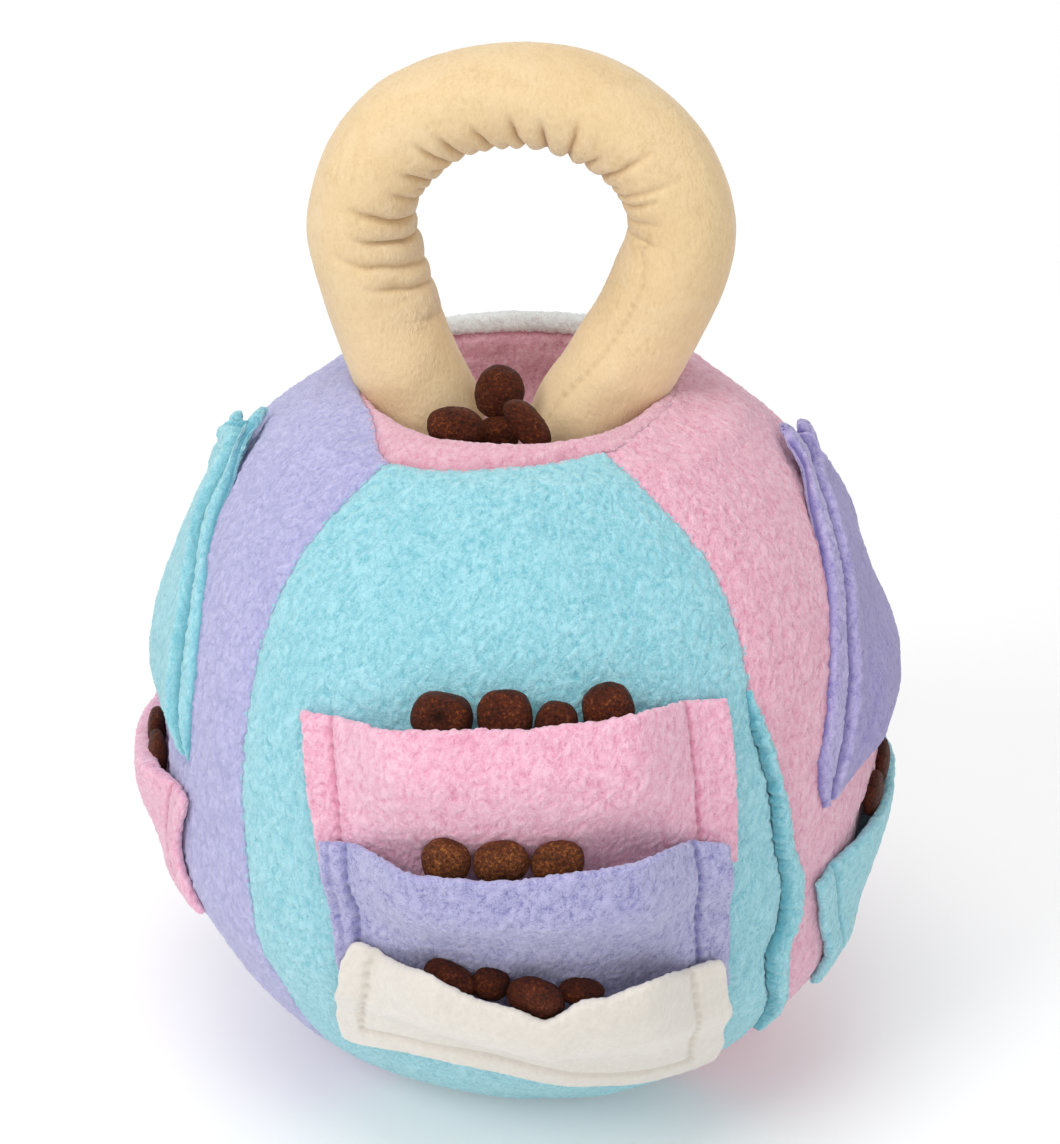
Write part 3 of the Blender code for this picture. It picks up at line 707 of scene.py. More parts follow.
def cloth(name, azimuth_at, z_at, width, height, inner_off, thickness, mat, node, slot, seed, wave=0.34, nap=0.54, size=1.15, direction=(0.6, 0.0, 0.8), marks=None, step=0.38):
    """A sewn patch as a closed sheet with a soft, round, cut edge.

    azimuth_at and z_at give its place on the ball by u and v, inner_off and
    thickness take u, v and the distances to its left, right, low and top edge.
    """
    step *= COARSE
    u = spaced(width, step, 1)[None, :]
    v = spaced(height, step, 1)[:, None]
    azimuth, z = azimuth_at(u, v), z_at(u, v)
    r, _ = ball_point(ball_t(z))
    span = np.radians(np.abs(azimuth[:, -1:] - azimuth[:, :1])) * r
    rise = np.abs(q_of_z(z[-1:, :]) - q_of_z(z[:1, :]))
    left, right = u * span, (1 - u) * span
    low, top = v * rise, (1 - v) * rise
    edge = np.minimum(np.minimum(left, right), np.minimum(low, top))
    # the cut edge wanders
    way = wave * (noise1(v * height / 7.0, seed) + 0.35 * noise1(v * height / 2.2, seed + 1)) + 0.2 * noise1(v * height / 0.9, seed + 9)
    way2 = wave * (noise1(v * height / 7.0, seed + 2) + 0.35 * noise1(v * height / 2.2, seed + 3))
    azimuth = azimuth + np.degrees((way * bump(left, 5.0) + way2 * bump(right, 5.0)) / r)
    rim = wave * (noise1(u * width / 8.0, seed + 4) + 0.4 * noise1(u * width / 2.4, seed + 5)) + 0.3 * noise1(u * width / 0.9, seed + 8)
    foot = wave * (noise1(u * width / 8.0, seed + 6) + 0.4 * noise1(u * width / 2.4, seed + 7))
    z = z + rim * bump(top, 5.0) + foot * bump(low, 5.0)
    off = inner_off(u, v, left, right, low, top)
    off = off + body_form(on_ball(azimuth, z, 0.0).reshape(-1, 3)).reshape(off.shape)
    thick = thickness(u, v, left, right, low, top)
    round_off = np.sqrt(np.clip(1 - (1 - np.clip(edge / 1.25, 0, 1)) ** 2, 0.004, 1))
    middle = off + thick / 2
    outer = on_ball(azimuth, z, middle + thick / 2 * round_off)
    inner = on_ball(azimuth, z, middle - thick / 2 * round_off)
    rows, cols = outer.shape[:2]
    verts = settle(np.concatenate([outer.reshape(-1, 3), inner.reshape(-1, 3)]))
    k = rows * cols
    border = np.r_[np.arange(cols), np.arange(1, rows) * cols + cols - 1, ((rows - 1) * cols + np.arange(cols - 1))[::-1], (np.arange(1, rows - 1) * cols)[::-1]]
    nxt = np.roll(border, -1)
    faces = [grid_faces(rows, cols), grid_faces(rows, cols, start=k)[:, ::-1], np.stack([border, border + k, nxt + k, nxt], 1)]
    if azimuth[0, -1] < azimuth[0, 0]:
        faces = [f[:, ::-1] for f in faces]
    flat = area_of(verts, faces[:1]) * MM * MM
    quiet = marks(u, v, left, right, low, top) if marks else np.zeros_like(off)
    quiet = np.clip(np.broadcast_to(quiet, off.shape).ravel(), 0, 1)
    both = np.concatenate([quiet, quiet])
    verts, h = finish_fleece(verts, faces, seed, nap, both * 0.8, size, direction)
    # crease: the outside is darkened along its sewn lines, as painted shade
    obj = build(name, verts, faces, mat, "ball", [node], {"nap": h, "crease": np.concatenate([quiet, quiet * 0])})
    return obj


def pouch(name, top, bottom, slack, mat, node, slot, seed, lift=0.0, lift_from=0.75, middle=0.5, crease=(7.0, 7.0), low_crease=0.0, curl=1.0, double=False, corner=0.0, lip=0.0, rise=((0, 0), (1, 0)), foot=((0, 0), (1, 0)), base=0.6, low_slack=0.0, line=(0.62, 1.0, 0.6), belly=(0.2, 0.68), sides=None, **more):
    """A patch pocket, sewn at both sides and below. rise and foot raise its top and bottom edge along u."""

    width = abs(top[2] - top[0]) * math.pi / 180 * 78.0
    height = float(q_of_z((top[1] + top[3]) / 2) - q_of_z((bottom[1] + bottom[3]) / 2))

    def azimuth_at(u, v):
        a0 = bottom[0] + (top[0] - bottom[0]) * v
        a1 = bottom[2] + (top[2] - bottom[2]) * v
        # a rounded lower corner draws the sides in
        tuck = corner * np.clip(1 - v * height / 9.0, 0, 1) ** 2
        if sides:
            a0, a1 = a0 + smooth_table(v, sides[0]), a1 + smooth_table(v, sides[1])
        return a0 + (a1 - a0) * u + (1 - 2 * u) * np.abs(1 - 2 * u) ** 3 * tuck

    def z_at(u, v):
        z0 = bottom[1] + (bottom[3] - bottom[1]) * u
        z1 = top[1] + (top[3] - top[1]) * u
        return z0 + (z1 - z0) * v + smooth_table(u, rise) * v**1.5 + smooth_table(u, foot) * (1 - v) ** 1.5

    def side_of(u):
        return np.where(u < middle, u / middle, (1 - u) / (1 - middle))

    def inner_off(u, v, left, right, low, top_d):
        across = ease((side_of(u) - 0.14) / 0.42)
        off = base + lift * ease((v - lift_from) / 0.32)
        off = off + slack * across * ease((v - belly[0]) / belly[1]) + low_slack * across * ease(v / 0.2)
        flange = np.clip(1 - left / crease[0], 0, 1) + np.clip(1 - right / crease[1], 0, 1)
        off = off + curl * flange * (0.55 + 0.5 * noise1(v * height / 11.0, seed + 11)) * ease(v * 3.0)
        uu, vv = np.broadcast_arrays(u, v)
        grid = np.stack([uu.ravel() * width / 16.0, vv.ravel() * height / 11.0, np.full(uu.size, 0.5)], 1)
        off = off + 0.55 * noise(grid, seed + 12).reshape(uu.shape) * across
        off = off + 0.5 * ease(1 - top_d / 5.0) * across * noise1(u * width / 13.0, seed + 13)
        return off - lip * across * ease(1 - top_d / 6.0)

    def stitch(left, right, low, u, v):
        lines = bump(left - crease[0] - 0.5 * noise1(v * height / 9.0, seed + 14), line[0]) + bump(right - crease[1] - 0.5 * noise1(v * height / 9.0, seed + 15), line[0])
        if double:
            lines = lines + 0.5 * bump(left - crease[0] * 0.38, 0.6) * ease(v * 2)
        if low_crease:
            fade = ease((np.minimum(left - crease[0], right - crease[1]) + 1.5) / 1.5)
            lines = lines * ease((low - low_crease + 1.0) / 1.5) + 0.8 * bump(low - low_crease, line[0] * 1.15) * fade
        return lines

    def thickness(u, v, left, right, low, top_d):
        puckers = 0.85 + 0.3 * np.sin(2 * np.pi * low / 2.9)
        return 2.35 + lip * ease((side_of(u) - 0.14) / 0.42) * ease(1 - top_d / 6.0) - line[1] * np.clip(stitch(left, right, low, u, v), 0, 1) * puckers

    # the stitched lines hold the nap down and darken the pile, as painted shade in their grooves
    def marks(u, v, left, right, low, top_d):
        return line[2] * np.clip(stitch(left, right, low, u, v), 0, 1)

    return cloth(name, azimuth_at, z_at, width, height, inner_off, thickness, mat, node, slot, seed, marks=marks, **more)


pouch("front_top_pocket_pink", (-30.5, 110.6, 37.2, 113.8), (-26.3, 78.7, 37.8, 78.5), 9.4, PINK, "pocket_front_top_pink", "pink_fleece", 200, crease=(6.9, 9.5), belly=(0.1, 0.72),
      rise=((0, 0), (0.15, 1.0), (0.35, 2.2), (0.5, 2.7), (0.65, 3.2), (0.8, 3.0), (0.92, 1.6), (1, 0)))
pouch("front_middle_pocket_lavender", (-24.8, 85.8, 34.8, 85.0), (-23.5, 50.5, 38.2, 47.0), 9.3, POCKET_LAVENDER, "pocket_front_middle_lavender", "lavender_fleece", 220, lift=3.4, lift_from=0.5, double=True, crease=(6.0, 8.0), belly=(0.12, 0.7), line=(0.7, 1.15, 0.85),
      rise=((0, 0), (0.08, 1.4), (0.17, 2.0), (0.3, 1.8), (0.42, 2.0), (0.5, 2.6), (0.63, 3.8), (0.72, 4.3), (0.83, 4.2), (0.92, 2.4), (1, 0)))
pouch("front_low_pocket_white", (-21.2, 60.0, 34.9, 54.5), (-28.8, 30.6, 40.2, 22.8), 9.8, WHITE, "pocket_front_low_white", "white_fleece", 240, lift=3.4, lift_from=0.35, crease=(6.6, 8.5), low_crease=6.0, nap=0.17, curl=0.0, wave=0.2, line=(0.95, 1.0, 0.35), sides=(((0, -0.4), (0.06, -0.9), (0.23, -1.4), (0.45, -0.4), (0.7, 0.7), (0.9, 0.0), (1, 0.3)), ((0, 0.4), (0.06, 0.5), (0.12, 0.6), (0.29, -0.5), (0.43, -0.5), (0.57, 0.0), (0.76, 0.2), (0.93, 0.2), (1, 0.2))),
      rise=((0, 1.6), (0.012, 3.2), (0.04, 4.7), (0.07, 4.1), (0.1, 3.7), (0.16, 4.6), (0.24, 6.9), (0.3, 5.1), (0.37, 2.9), (0.42, 2.4), (0.47, 1.2), (0.51, 0.0), (0.545, 1.7), (0.575, 3.9), (0.6, 4.8), (0.65, 5.2), (0.7, 6.6), (0.75, 7.6), (0.8, 6.8), (0.85, 4.4), (0.89, 3.1), (0.93, 3.0), (0.97, 3.0), (0.99, 2.6), (1, 1.4)), foot=((0, 1.5), (0.02, 0.8), (0.05, 1.2), (0.1, 2.5), (0.18, 3.7), (0.255, 3.7), (0.33, 3.3), (0.4, 2.6), (0.5, 0.6), (0.59, -0.9), (0.69, -2.2), (0.76, -2.6), (0.86, -2.2), (0.95, -1.6), (0.985, -0.8), (1, 0.8)))
pouch("left_low_pocket_pink", (-125.0, 76.5, -55.0, 76.0), (-122.0, 38.0, -57.5, 46.5), 4.0, PINK, "pocket_left_low_pink", "pink_fleece", 260, middle=0.62, base=0.0, lip=2.2, sides=(((0, 0), (1, 0)), ((0, -1.0), (0.15, -2.4), (0.4, -4.6), (0.7, -4.2), (0.9, -2.8), (1, -2.4))), rise=((0, -3), (0.45, -4.5), (0.62, -3.2), (0.78, -0.3), (0.9, 0.8), (1, 0)))
pouch("right_low_pocket_aqua", (56.0, 62.0, 125.0, 62.5), (66.0, 27.5, 119.0, 27.5), 1.5, AQUA, "pocket_right_low_aqua", "aqua_fleece", 280, middle=0.38, base=0.0, low_slack=0.2, crease=(6.5, 7.0), rise=((0, 0), (0.06, 1.4), (0.2, 4.8), (0.32, 5.2), (0.5, 5.0), (0.8, 3.0), (1, 0)))
pouch("back_top_pocket_lavender", (147.5, 111.0, 212.5, 111.0), (146.0, 79.0, 214.0, 79.0), 8.0, LAVENDER, "pocket_back_top_lavender", "lavender_fleece", 300, rise=((0, 0), (0.5, 2.2), (1, 0)))
pouch("back_middle_pocket_aqua", (150.5, 84.5, 209.5, 84.5), (149.5, 49.0, 210.5, 49.0), 8.0, AQUA, "pocket_back_middle_aqua", "aqua_fleece", 320, lift=3.4, lift_from=0.5, rise=((0, 0), (0.5, 2.2), (1, 0)))
pouch("back_low_pocket_pink", (150.5, 57.5, 209.5, 57.5), (144.0, 23.0, 216.0, 23.0), 8.0, PINK, "pocket_back_low_pink", "pink_fleece", 340, lift=3.4, lift_from=0.35, low_crease=6.5, corner=2.5, rise=((0, 0), (0.5, 2.2), (1, 0)))


def flap(name, centre, tip, z_low, z_top, half, slack, swell_to, strip_width, drop, flare, notch, groove, shade, mat, node, slot, seed):
    """A triangular patch, sewn along both slanting sides, with two ears at its tip."""
    height = float(q_of_z(z_top) - q_of_z(z_low))
    width = 2 * half[2][1] * math.pi / 180 * 80.0

    def z_at(u, v):
        ears = smooth_table(u, ((0, -2.2), (0.1, -0.2), (0.2, 0.4), (0.34, -0.12 * notch), (0.43, -0.6 * notch), (0.5, -notch), (0.57, -0.6 * notch), (0.66, -0.12 * notch), (0.8, 0.4), (0.9, -0.2), (1, -2.2)))
        low = smooth_table(np.abs(2 * u - 1), ((0, 7.4), (0.35, 7.0), (0.65, 5.6), (0.85, 2.9), (0.95, 1.0), (1, 0.7)))
        far = drop * ease(((u if centre > 0 else 1 - u) - 0.22) / 0.56)
        return z_low + (z_top - z_low) * v + (ears - far) * ease((v - 0.72) / 0.28) + low * (1 - v) ** 2

    def azimuth_at(u, v):
        z = z_low + (z_top - z_low) * v
        lean = (tip - centre) * ease((v - 0.55) / 0.45)
        return centre + lean + half_of(z, half) * (2 * u - 1)

    def from_line(left, right, v):
        """Distance to the sewn lines, which come nearer to the edges at the narrow tip."""
        c = np.minimum(strip_width, 0.4 * (left + right)) * (0.3 + 0.7 * ease(v / 0.2))
        return np.minimum(left, right) - c - 0.4 * noise1(v * height / 10.0, seed + 14)

    def outer(u, v, left, right):
        d = from_line(left, right, v)
        side = np.minimum(u, 1 - u) * 2
        edge = np.minimum(left, right)
        puffed = 0.65 + (1.0 if centre > 0 else 0.7) * ease(edge / 1.4) + 0.3 * bump(d + 3.2, 2.2)
        face = (1.4 if centre > 0 else 1.9) * ease((d - 0.2) / 2.0) * (1 - 0.85 * ease((d - 2.2) / 7.0))
        swell = slack * ease((side - 0.15) / 0.4) * ease((swell_to - v) / 0.26) * (0.65 + 0.35 * ease(v / 0.12))
        away = u if centre > 0 else 1 - u
        ears = 2.1 * ease((v - 0.84) / 0.16) + flare * ease((v - 0.78) / 0.22) * ease((away - 0.3) / 0.5)
        return puffed + face * ease(v / 0.12) + swell + ears - groove[1] * bump(d, groove[0])

    def thickness(u, v, left, right, low, top_d):
        return 2.3 - 0.9 * bump(from_line(left, right, v), groove[0])

    def inner_off(u, v, left, right, low, top_d):
        return outer(u, v, left, right) - thickness(u, v, left, right, low, top_d)

    def marks(u, v, left, right, low, top_d):
        # painted shade: darker in the grooves of the sewn lines, along the cut edge and, by the amount shade, over the
        # face
        d = from_line(left, right, v)
        return np.clip(1.2 * bump(d, groove[0] * 0.9) + 0.9 * bump(np.minimum(left, right), 0.45) + shade * ease((d - 1.0) / 3.0), 0, 1)

    return cloth(name, azimuth_at, z_at, width, height, inner_off, thickness, mat, node, slot, seed, marks=marks, step=0.42)


flap("left_flap_aqua", -90.0, -94.0, 83.5, 146.9, HALF_LEFT, 0.6, 0.5, 6.2, 5.7, 1.2, 3.0, (1.1, 1.7), 0.0, AQUA, "pocket_left_flap_aqua", "aqua_fleece", 360)
flap("right_flap_lavender", 90.0, 94.0, 78.5, 146.5, HALF_RIGHT, 3.3, 0.46, 7.4, 3.0, 1.4, 2.2, (0.8, 1.6), 0.45, FLAP_LAVENDER, "pocket_right_flap_lavender", "lavender_fleece", 380)


def lap():
    """The hem lapped over the pink gore, a soft roll beside the closing seam."""
    low, high = 22.0, 113.0
    length = float(q_of_z(high) - q_of_z(low))
    rows, cols = int(length / (0.4 * COARSE)), int(16 / (0.4 * COARSE))
    v = np.linspace(0, 1, rows)[:, None]
    x = np.linspace(0, 1, cols)[None, :]
    z = low + (high - low) * v
    r, _ = ball_point(ball_t(z))
    width = smooth_table(z, ((19, 1.5), (24, 3.4), (33, 4.4), (41, 6.2), (51, 6.0), (58, 6.6), (66, 6.4), (71, 5.4), (82, 4.7), (91, 3.4), (103, 3.7), (108, 3.0), (113, 1.4))) + 0.35 * noise1(z / 5.0, 71)
    start = seam_front_right(z) - 0.35
    azimuth = start + np.degrees(width * x / r)
    arch = np.sin(np.pi * np.clip(x * 0.96 + 0.04, 0, 1) ** 0.85) ** 0.7
    tall = smooth_table(z, ((19, 0.3), (24, 1.4), (40, 2.5), (70, 2.3), (90, 1.9), (104, 1.5), (112, 0.2))) + 0.25 * noise1(z / 3.0, 73)
    outer = on_ball(azimuth, z, -1.5 + (tall + 1.5) * arch + 0.55 * x**3)
    inner = on_ball(azimuth, z, np.full_like(azimuth, -1.5))
    verts = settle(np.concatenate([outer.reshape(-1, 3), inner.reshape(-1, 3)]))
    k = rows * cols
    border = np.r_[np.arange(cols), np.arange(1, rows) * cols + cols - 1, ((rows - 1) * cols + np.arange(cols - 1))[::-1], (np.arange(1, rows - 1) * cols)[::-1]]
    nxt = np.roll(border, -1)
    faces = [grid_faces(rows, cols), grid_faces(rows, cols, start=k)[:, ::-1], np.stack([border, border + k, nxt + k, nxt], 1)]
    verts, h = finish_fleece(verts, faces, 400, 0.6)
    # painted shade in the groove beside the roll
    crease = np.clip(bump(x * width, 0.75) + 0 * v, 0, 1).ravel()
    obj = build("closing_seam_hem", verts, faces, AQUA, "ball", ["closing_seam_lap"], {"nap": h, "crease": np.r_[crease, crease]})
    return obj


lap()

# ------------------------------------------------------------------- handle

TUBE_R, LOOP_HALF_WIDTH, LOOP_Z, LOOP_RISE, LEG_END_Z = 11.5, 34.0, 193.0, 29.5, 143.0


def handle_line(step):
    left = [(-18.3, LEG_END_Z), (-19.9, 148.0), (-21.6, 153.0), (-25.2, 162.0), (-28.6, 171.5), (-31.6, 181.5)]
    right = [(30.9, 181.5), (26.6, 171.5), (21.4, 162.0), (16.2, 153.0), (14.1, 148.0), (12.2, LEG_END_Z)]
    loop = [(LOOP_HALF_WIDTH * math.cos(math.radians(180 - 22.5 * k)), LOOP_Z + LOOP_RISE * math.sin(math.radians(180 - 22.5 * k))) for k in range(9)]
    pts = np.array(left + loop + right)
    ext = np.vstack([2 * pts[0] - pts[1], pts, 2 * pts[-1] - pts[-2]])
    fine = []
    for i in range(1, len(ext) - 2):
        p0, p1, p2, p3 = ext[i - 1 : i + 3]
        for t in np.arange(24) / 24:
            fine.append(0.5 * (2 * p1 + (p2 - p0) * t + (2 * p0 - 5 * p1 + 4 * p2 - p3) * t * t + (3 * p1 - p0 - 3 * p2 + p3) * t**3))
    fine.append(pts[-1])
    fine = np.array(fine)
    s = np.r_[0, np.cumsum(np.linalg.norm(np.diff(fine, axis=0), axis=1))]
    even = np.linspace(0, s[-1], int(s[-1] / step))
    line = np.stack([np.interp(even, s, fine[:, 0]), np.interp(even, s, fine[:, 1])], 1)
    for _ in range(max(3, int(3.5 / step))):  # evens out the bends between its points
        line[1:-1] = 0.25 * line[:-2] + 0.5 * line[1:-1] + 0.25 * line[2:]
    return even, line


def tube_radius(z):
    r = TUBE_R + 0.4 * np.clip((LOOP_Z - z) / 30.0, 0, 1) - 0.5 * np.clip((z - LOOP_Z) / LOOP_RISE, 0, None)
    return r - 2.0 * np.clip((LEG_END_Z + 5.0 - z) / 5.0, 0, 1) ** 2


# Gathers on the inside of the bend: place along the tube at the inner side and at its far end, how far round it runs, depth
GATHERS = (
    (28.5, 31.0, 55, 0.35), (35.9, 41.5, 88, 0.95), (41.5, 48.8, 112, 1.0), (48.1, 53.0, 92, 1.35), (56.6, 59.2, 100, 1.35), (64.2, 65.9, 66, 0.9), (68.4, 69.5, 40, 0.6),
    (72.6, 71.5, 68, 1.25), (78.0, 76.0, 45, 0.7), (81.6, 79.0, 84, 1.35), (86.3, 84.0, 80, 1.5), (91.0, 90.0, 40, 0.6), (95.4, 92.4, 76, 1.4), (99.5, 98.8, 40, 0.6), (104.1, 100.6, 84, 1.5),
    (110.2, 107.8, 80, 1.4), (116.4, 115.2, 92, 1.2), (121.6, 123.2, 66, 1.0), (127.9, 130.8, 100, 1.05), (133.0, 133.5, 45, 0.5), (136.0, 138.2, 108, 0.6), (139.3, 140.6, 80, 0.75), (145.0, 146.2, 74, 0.5), (151.0, 152.0, 66, 0.4),
)


def handle():
    step = 0.46 * COARSE
    s, line = handle_line(step)
    z = line[:, 1]
    tangent = np.gradient(line, s, axis=0)
    tangent /= np.linalg.norm(tangent, axis=1, keepdims=True)
    inward = np.stack([tangent[:, 1], -tangent[:, 0]], 1)
    cols = int(2 * math.pi * 11.5 / step)
    theta = np.arange(cols) / cols * 2 * np.pi  # 0 faces the middle of the loop, a quarter turn is the front
    r = tube_radius(z)[:, None] + 0 * theta[None, :]
    round_by = np.degrees(np.minimum(theta, 2 * np.pi - theta))[None, :]
    side = np.where(theta < np.pi, 1.0, -1.0)[None, :]
    crease = np.zeros_like(r)
    cut = np.zeros_like(r)
    centres = []
    for i, (inner, outer, reach, depth) in enumerate(GATHERS):
        # the back of the handle folds in much the same places
        far = np.where(side > 0, outer, inner + (outer - inner) * 0.6 + 0.8 * math.sin(i * 2.3))
        stop = np.where(side > 0, reach, reach * (0.8 + 0.15 * math.sin(i * 1.7)))
        share = np.clip(round_by / stop, 0, 1.4)
        at = inner + (far - inner) * share**1.3 + 0.5 * noise1(round_by / 25.0 + i * 3.1, 500 + i)
        strength = depth * ease((1.12 - share) / 0.45)
        gap = s[:, None] - at
        cut = np.maximum(cut, strength * np.exp(-np.abs(gap / 0.95) ** 1.35))
        # painted shade: the crease mark darkens the bottom of each gather
        crease = np.maximum(crease, 1.0 * strength / 1.5 * bump(gap, 0.5))
        centres.append(inner)
    # the cloth puffs out between its gathers
    centres = np.array(centres)
    k = np.clip(np.searchsorted(centres, s) - 1, 0, len(centres) - 2)
    part = np.clip((s - centres[k]) / (centres[k + 1] - centres[k]), 0, 1)
    inside = (s > centres[0]) & (s < centres[-1])
    room = centres[k + 1] - centres[k]
    puff = np.where(inside, np.sin(np.pi * part) ** 0.7 * np.clip(room / 7.0, 0.3, 1.0), 0)[:, None]
    r = r + (0.5 - 0.22 * ease((24 - round_by) / 24.0)) * puff * ease((85 - round_by) / 75.0) * ease((150.0 - s)[:, None] / 30.0) - cut * (0.38 + 1.02 * ease(round_by / 30.0))
    # painted highlight: the tips mark, on the puffs between the gathers, makes the velvet paler there
    tips = (puff * ease((105 - round_by) / 80.0) * ease((150.0 - s)[:, None] / 30.0) * (1 - np.clip(cut, 0, 1)))
    # soft lumps of the filling
    angle = theta[None, :] + 0 * s[:, None]
    place = np.stack([(s[:, None] + 0 * angle).ravel() / 17.0, np.cos(angle).ravel() * 1.0, np.sin(angle).ravel() * 1.0], 1)
    r = r + 0.5 * noise(place, 70).reshape(r.shape) + 0.16 * noise(place * 2.6, 74).reshape(r.shape)
    # the tube's own seam runs down the front of the right leg
    seam_at = np.radians(np.interp(s, [100, 135, 156, 163, 182, 200, 208], [150, 70, 46, 62, 60, 44, 40]))[:, None]
    away = (theta[None, :] - seam_at + np.pi) % (2 * np.pi) - np.pi
    seam = bump(away * 11.5, 0.5) * ease((s - 142.0)[:, None] / 14.0)
    stitches = 0.75 + 0.25 * np.sin(2 * np.pi * s / 2.4)[:, None]
    r = r - 0.45 * seam * stitches - 0.12 * bump(away * 11.5, 1.6) * ease((s - 142.0)[:, None] / 14.0)
    # painted shade along the seam's stitches
    crease = np.clip(crease + 0.3 * seam * stitches, 0, 1)
    # legs spread a little where they are sewn down, and their ends are drawn in
    flare = 1.0 + 0.05 * ease((160.0 - z) / 12.0)[:, None]
    r = r * flare
    c, sn = np.cos(theta)[None, :], np.sin(theta)[None, :]
    x = line[:, :1] + inward[:, :1] * r * c
    zz = line[:, 1:] + inward[:, 1:] * r * c
    y = -r * sn
    p = np.stack([x, y, zz], -1)
    verts = p.reshape(-1, 3)
    rows = len(s)
    # both ends are closed, out of sight in the mouth
    ends = np.array([[line[0, 0], 0, line[0, 1] - 1.2], [line[-1, 0], 0, line[-1, 1] - 1.2]])
    verts = np.vstack([verts, ends])
    first, last = np.arange(cols), (rows - 1) * cols + np.arange(cols)
    faces = [grid_faces(rows, cols, closed=True), np.stack([np.roll(first, -1), first, np.full(cols, rows * cols)], 1), np.stack([last, np.roll(last, -1), np.full(cols, rows * cols + 1)], 1)]
    n = normals_of(verts, faces)
    top = np.argmax(verts[:, 2])
    if n[top, 2] < 0:
        faces = [f[:, ::-1] for f in faces]
        n = -n
    pile = np.stack([(s[:, None] + 0 * angle).ravel() / 1.5, (angle * 11.5).ravel() / 0.62, np.zeros(angle.size)], 1)
    pile = np.vstack([pile, pile[:2]])
    wrapped = np.stack([pile[:, 0] * 0.8, 11.5 / 0.7 * np.cos(pile[:, 1] * 0.62 / 11.5), 11.5 / 0.7 * np.sin(pile[:, 1] * 0.62 / 11.5)], 1)
    strokes = noise(wrapped, 510) * 0.6 + 0.4 * noise(wrapped * 2.1, 511)
    h = np.clip(0.5 + 0.5 * strokes, 0, 1)
    verts = verts + n * (0.10 * strokes)[:, None]
    # the legs mark makes the velvet lighter towards the lower end, as painted light
    obj = build("handle_velvet", verts, faces, CREAM, None, ["handle_cover"], {"nap": h, "crease": np.r_[crease.ravel(), 0, 0], "tips": np.r_[np.broadcast_to(tips, r.shape).ravel(), 0, 0], "legs": ease((184.0 - verts[:, 2]) / 24.0)})
    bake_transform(obj)
    return obj


handle()


def fillings():
    """The loose filling inside the ball and the handle, lumpy, out of sight."""
    step = 2.2
    q = np.arange(0, Q_END, step)
    rows, cols = len(q), 200
    azimuth = (np.arange(cols) / cols * 360.0)[None, :]
    base, _ = skin(azimuth, q[:, None], 0.0)
    lumps = noise(base.reshape(-1, 3) / 9.0, 80).reshape(rows, cols)
    p, _ = skin(azimuth, q[:, None], -5.2 + 0.9 * lumps)
    p[..., 2] = np.maximum(p[..., 2], 2.9)
    verts = settle(np.vstack([p.reshape(-1, 3), [[0, 0, 3.0]], [[0, 0, 133.4]]]))
    first, last = np.arange(cols), (rows - 1) * cols + np.arange(cols)
    faces = [grid_faces(rows, cols, closed=True), np.stack([np.roll(first, -1), first, np.full(cols, rows * cols)], 1), np.stack([last, np.roll(last, -1), np.full(cols, rows * cols + 1)], 1)]
    ball = build("body_stuffing_fibre", verts, faces, FIBRE, "ball", ["body_stuffing"])
    s, line = handle_line(1.6)
    tangent = np.gradient(line, s, axis=0)
    tangent /= np.linalg.norm(tangent, axis=1, keepdims=True)
    inward = np.stack([tangent[:, 1], -tangent[:, 0]], 1)
    cols = 40
    theta = (np.arange(cols) / cols * 2 * np.pi)[None, :]
    place = np.stack([(s[:, None] + 0 * theta).ravel() / 6.0, np.cos(theta + 0 * s[:, None]).ravel() * 1.5, np.sin(theta + 0 * s[:, None]).ravel() * 1.5], 1)
    r = tube_radius(line[:, 1])[:, None] - 4.0 + 0.5 * noise(place, 82).reshape(len(s), cols)
    x = line[:, :1] + inward[:, :1] * r * np.cos(theta)
    z = line[:, 1:] + inward[:, 1:] * r * np.cos(theta)
    p = np.stack([x, -r * np.sin(theta), z], -1)[2:-2]
    rows = p.shape[0]
    verts = np.vstack([p.reshape(-1, 3), p[0].mean(0), p[-1].mean(0)])
    first, last = np.arange(cols), (rows - 1) * cols + np.arange(cols)
    faces = [grid_faces(rows, cols, closed=True), np.stack([np.roll(first, -1), first, np.full(cols, rows * cols)], 1), np.stack([last, np.roll(last, -1), np.full(cols, rows * cols + 1)], 1)]
    if normals_of(verts, faces)[np.argmax(verts[:, 2]), 2] < 0:
        faces = [f[:, ::-1] for f in faces]
    inner = build("handle_stuffing_fibre", verts, faces, FIBRE, None, ["handle_stuffing"])
    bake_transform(inner)


fillings()

# ------------------------------------------------------------------- kibble


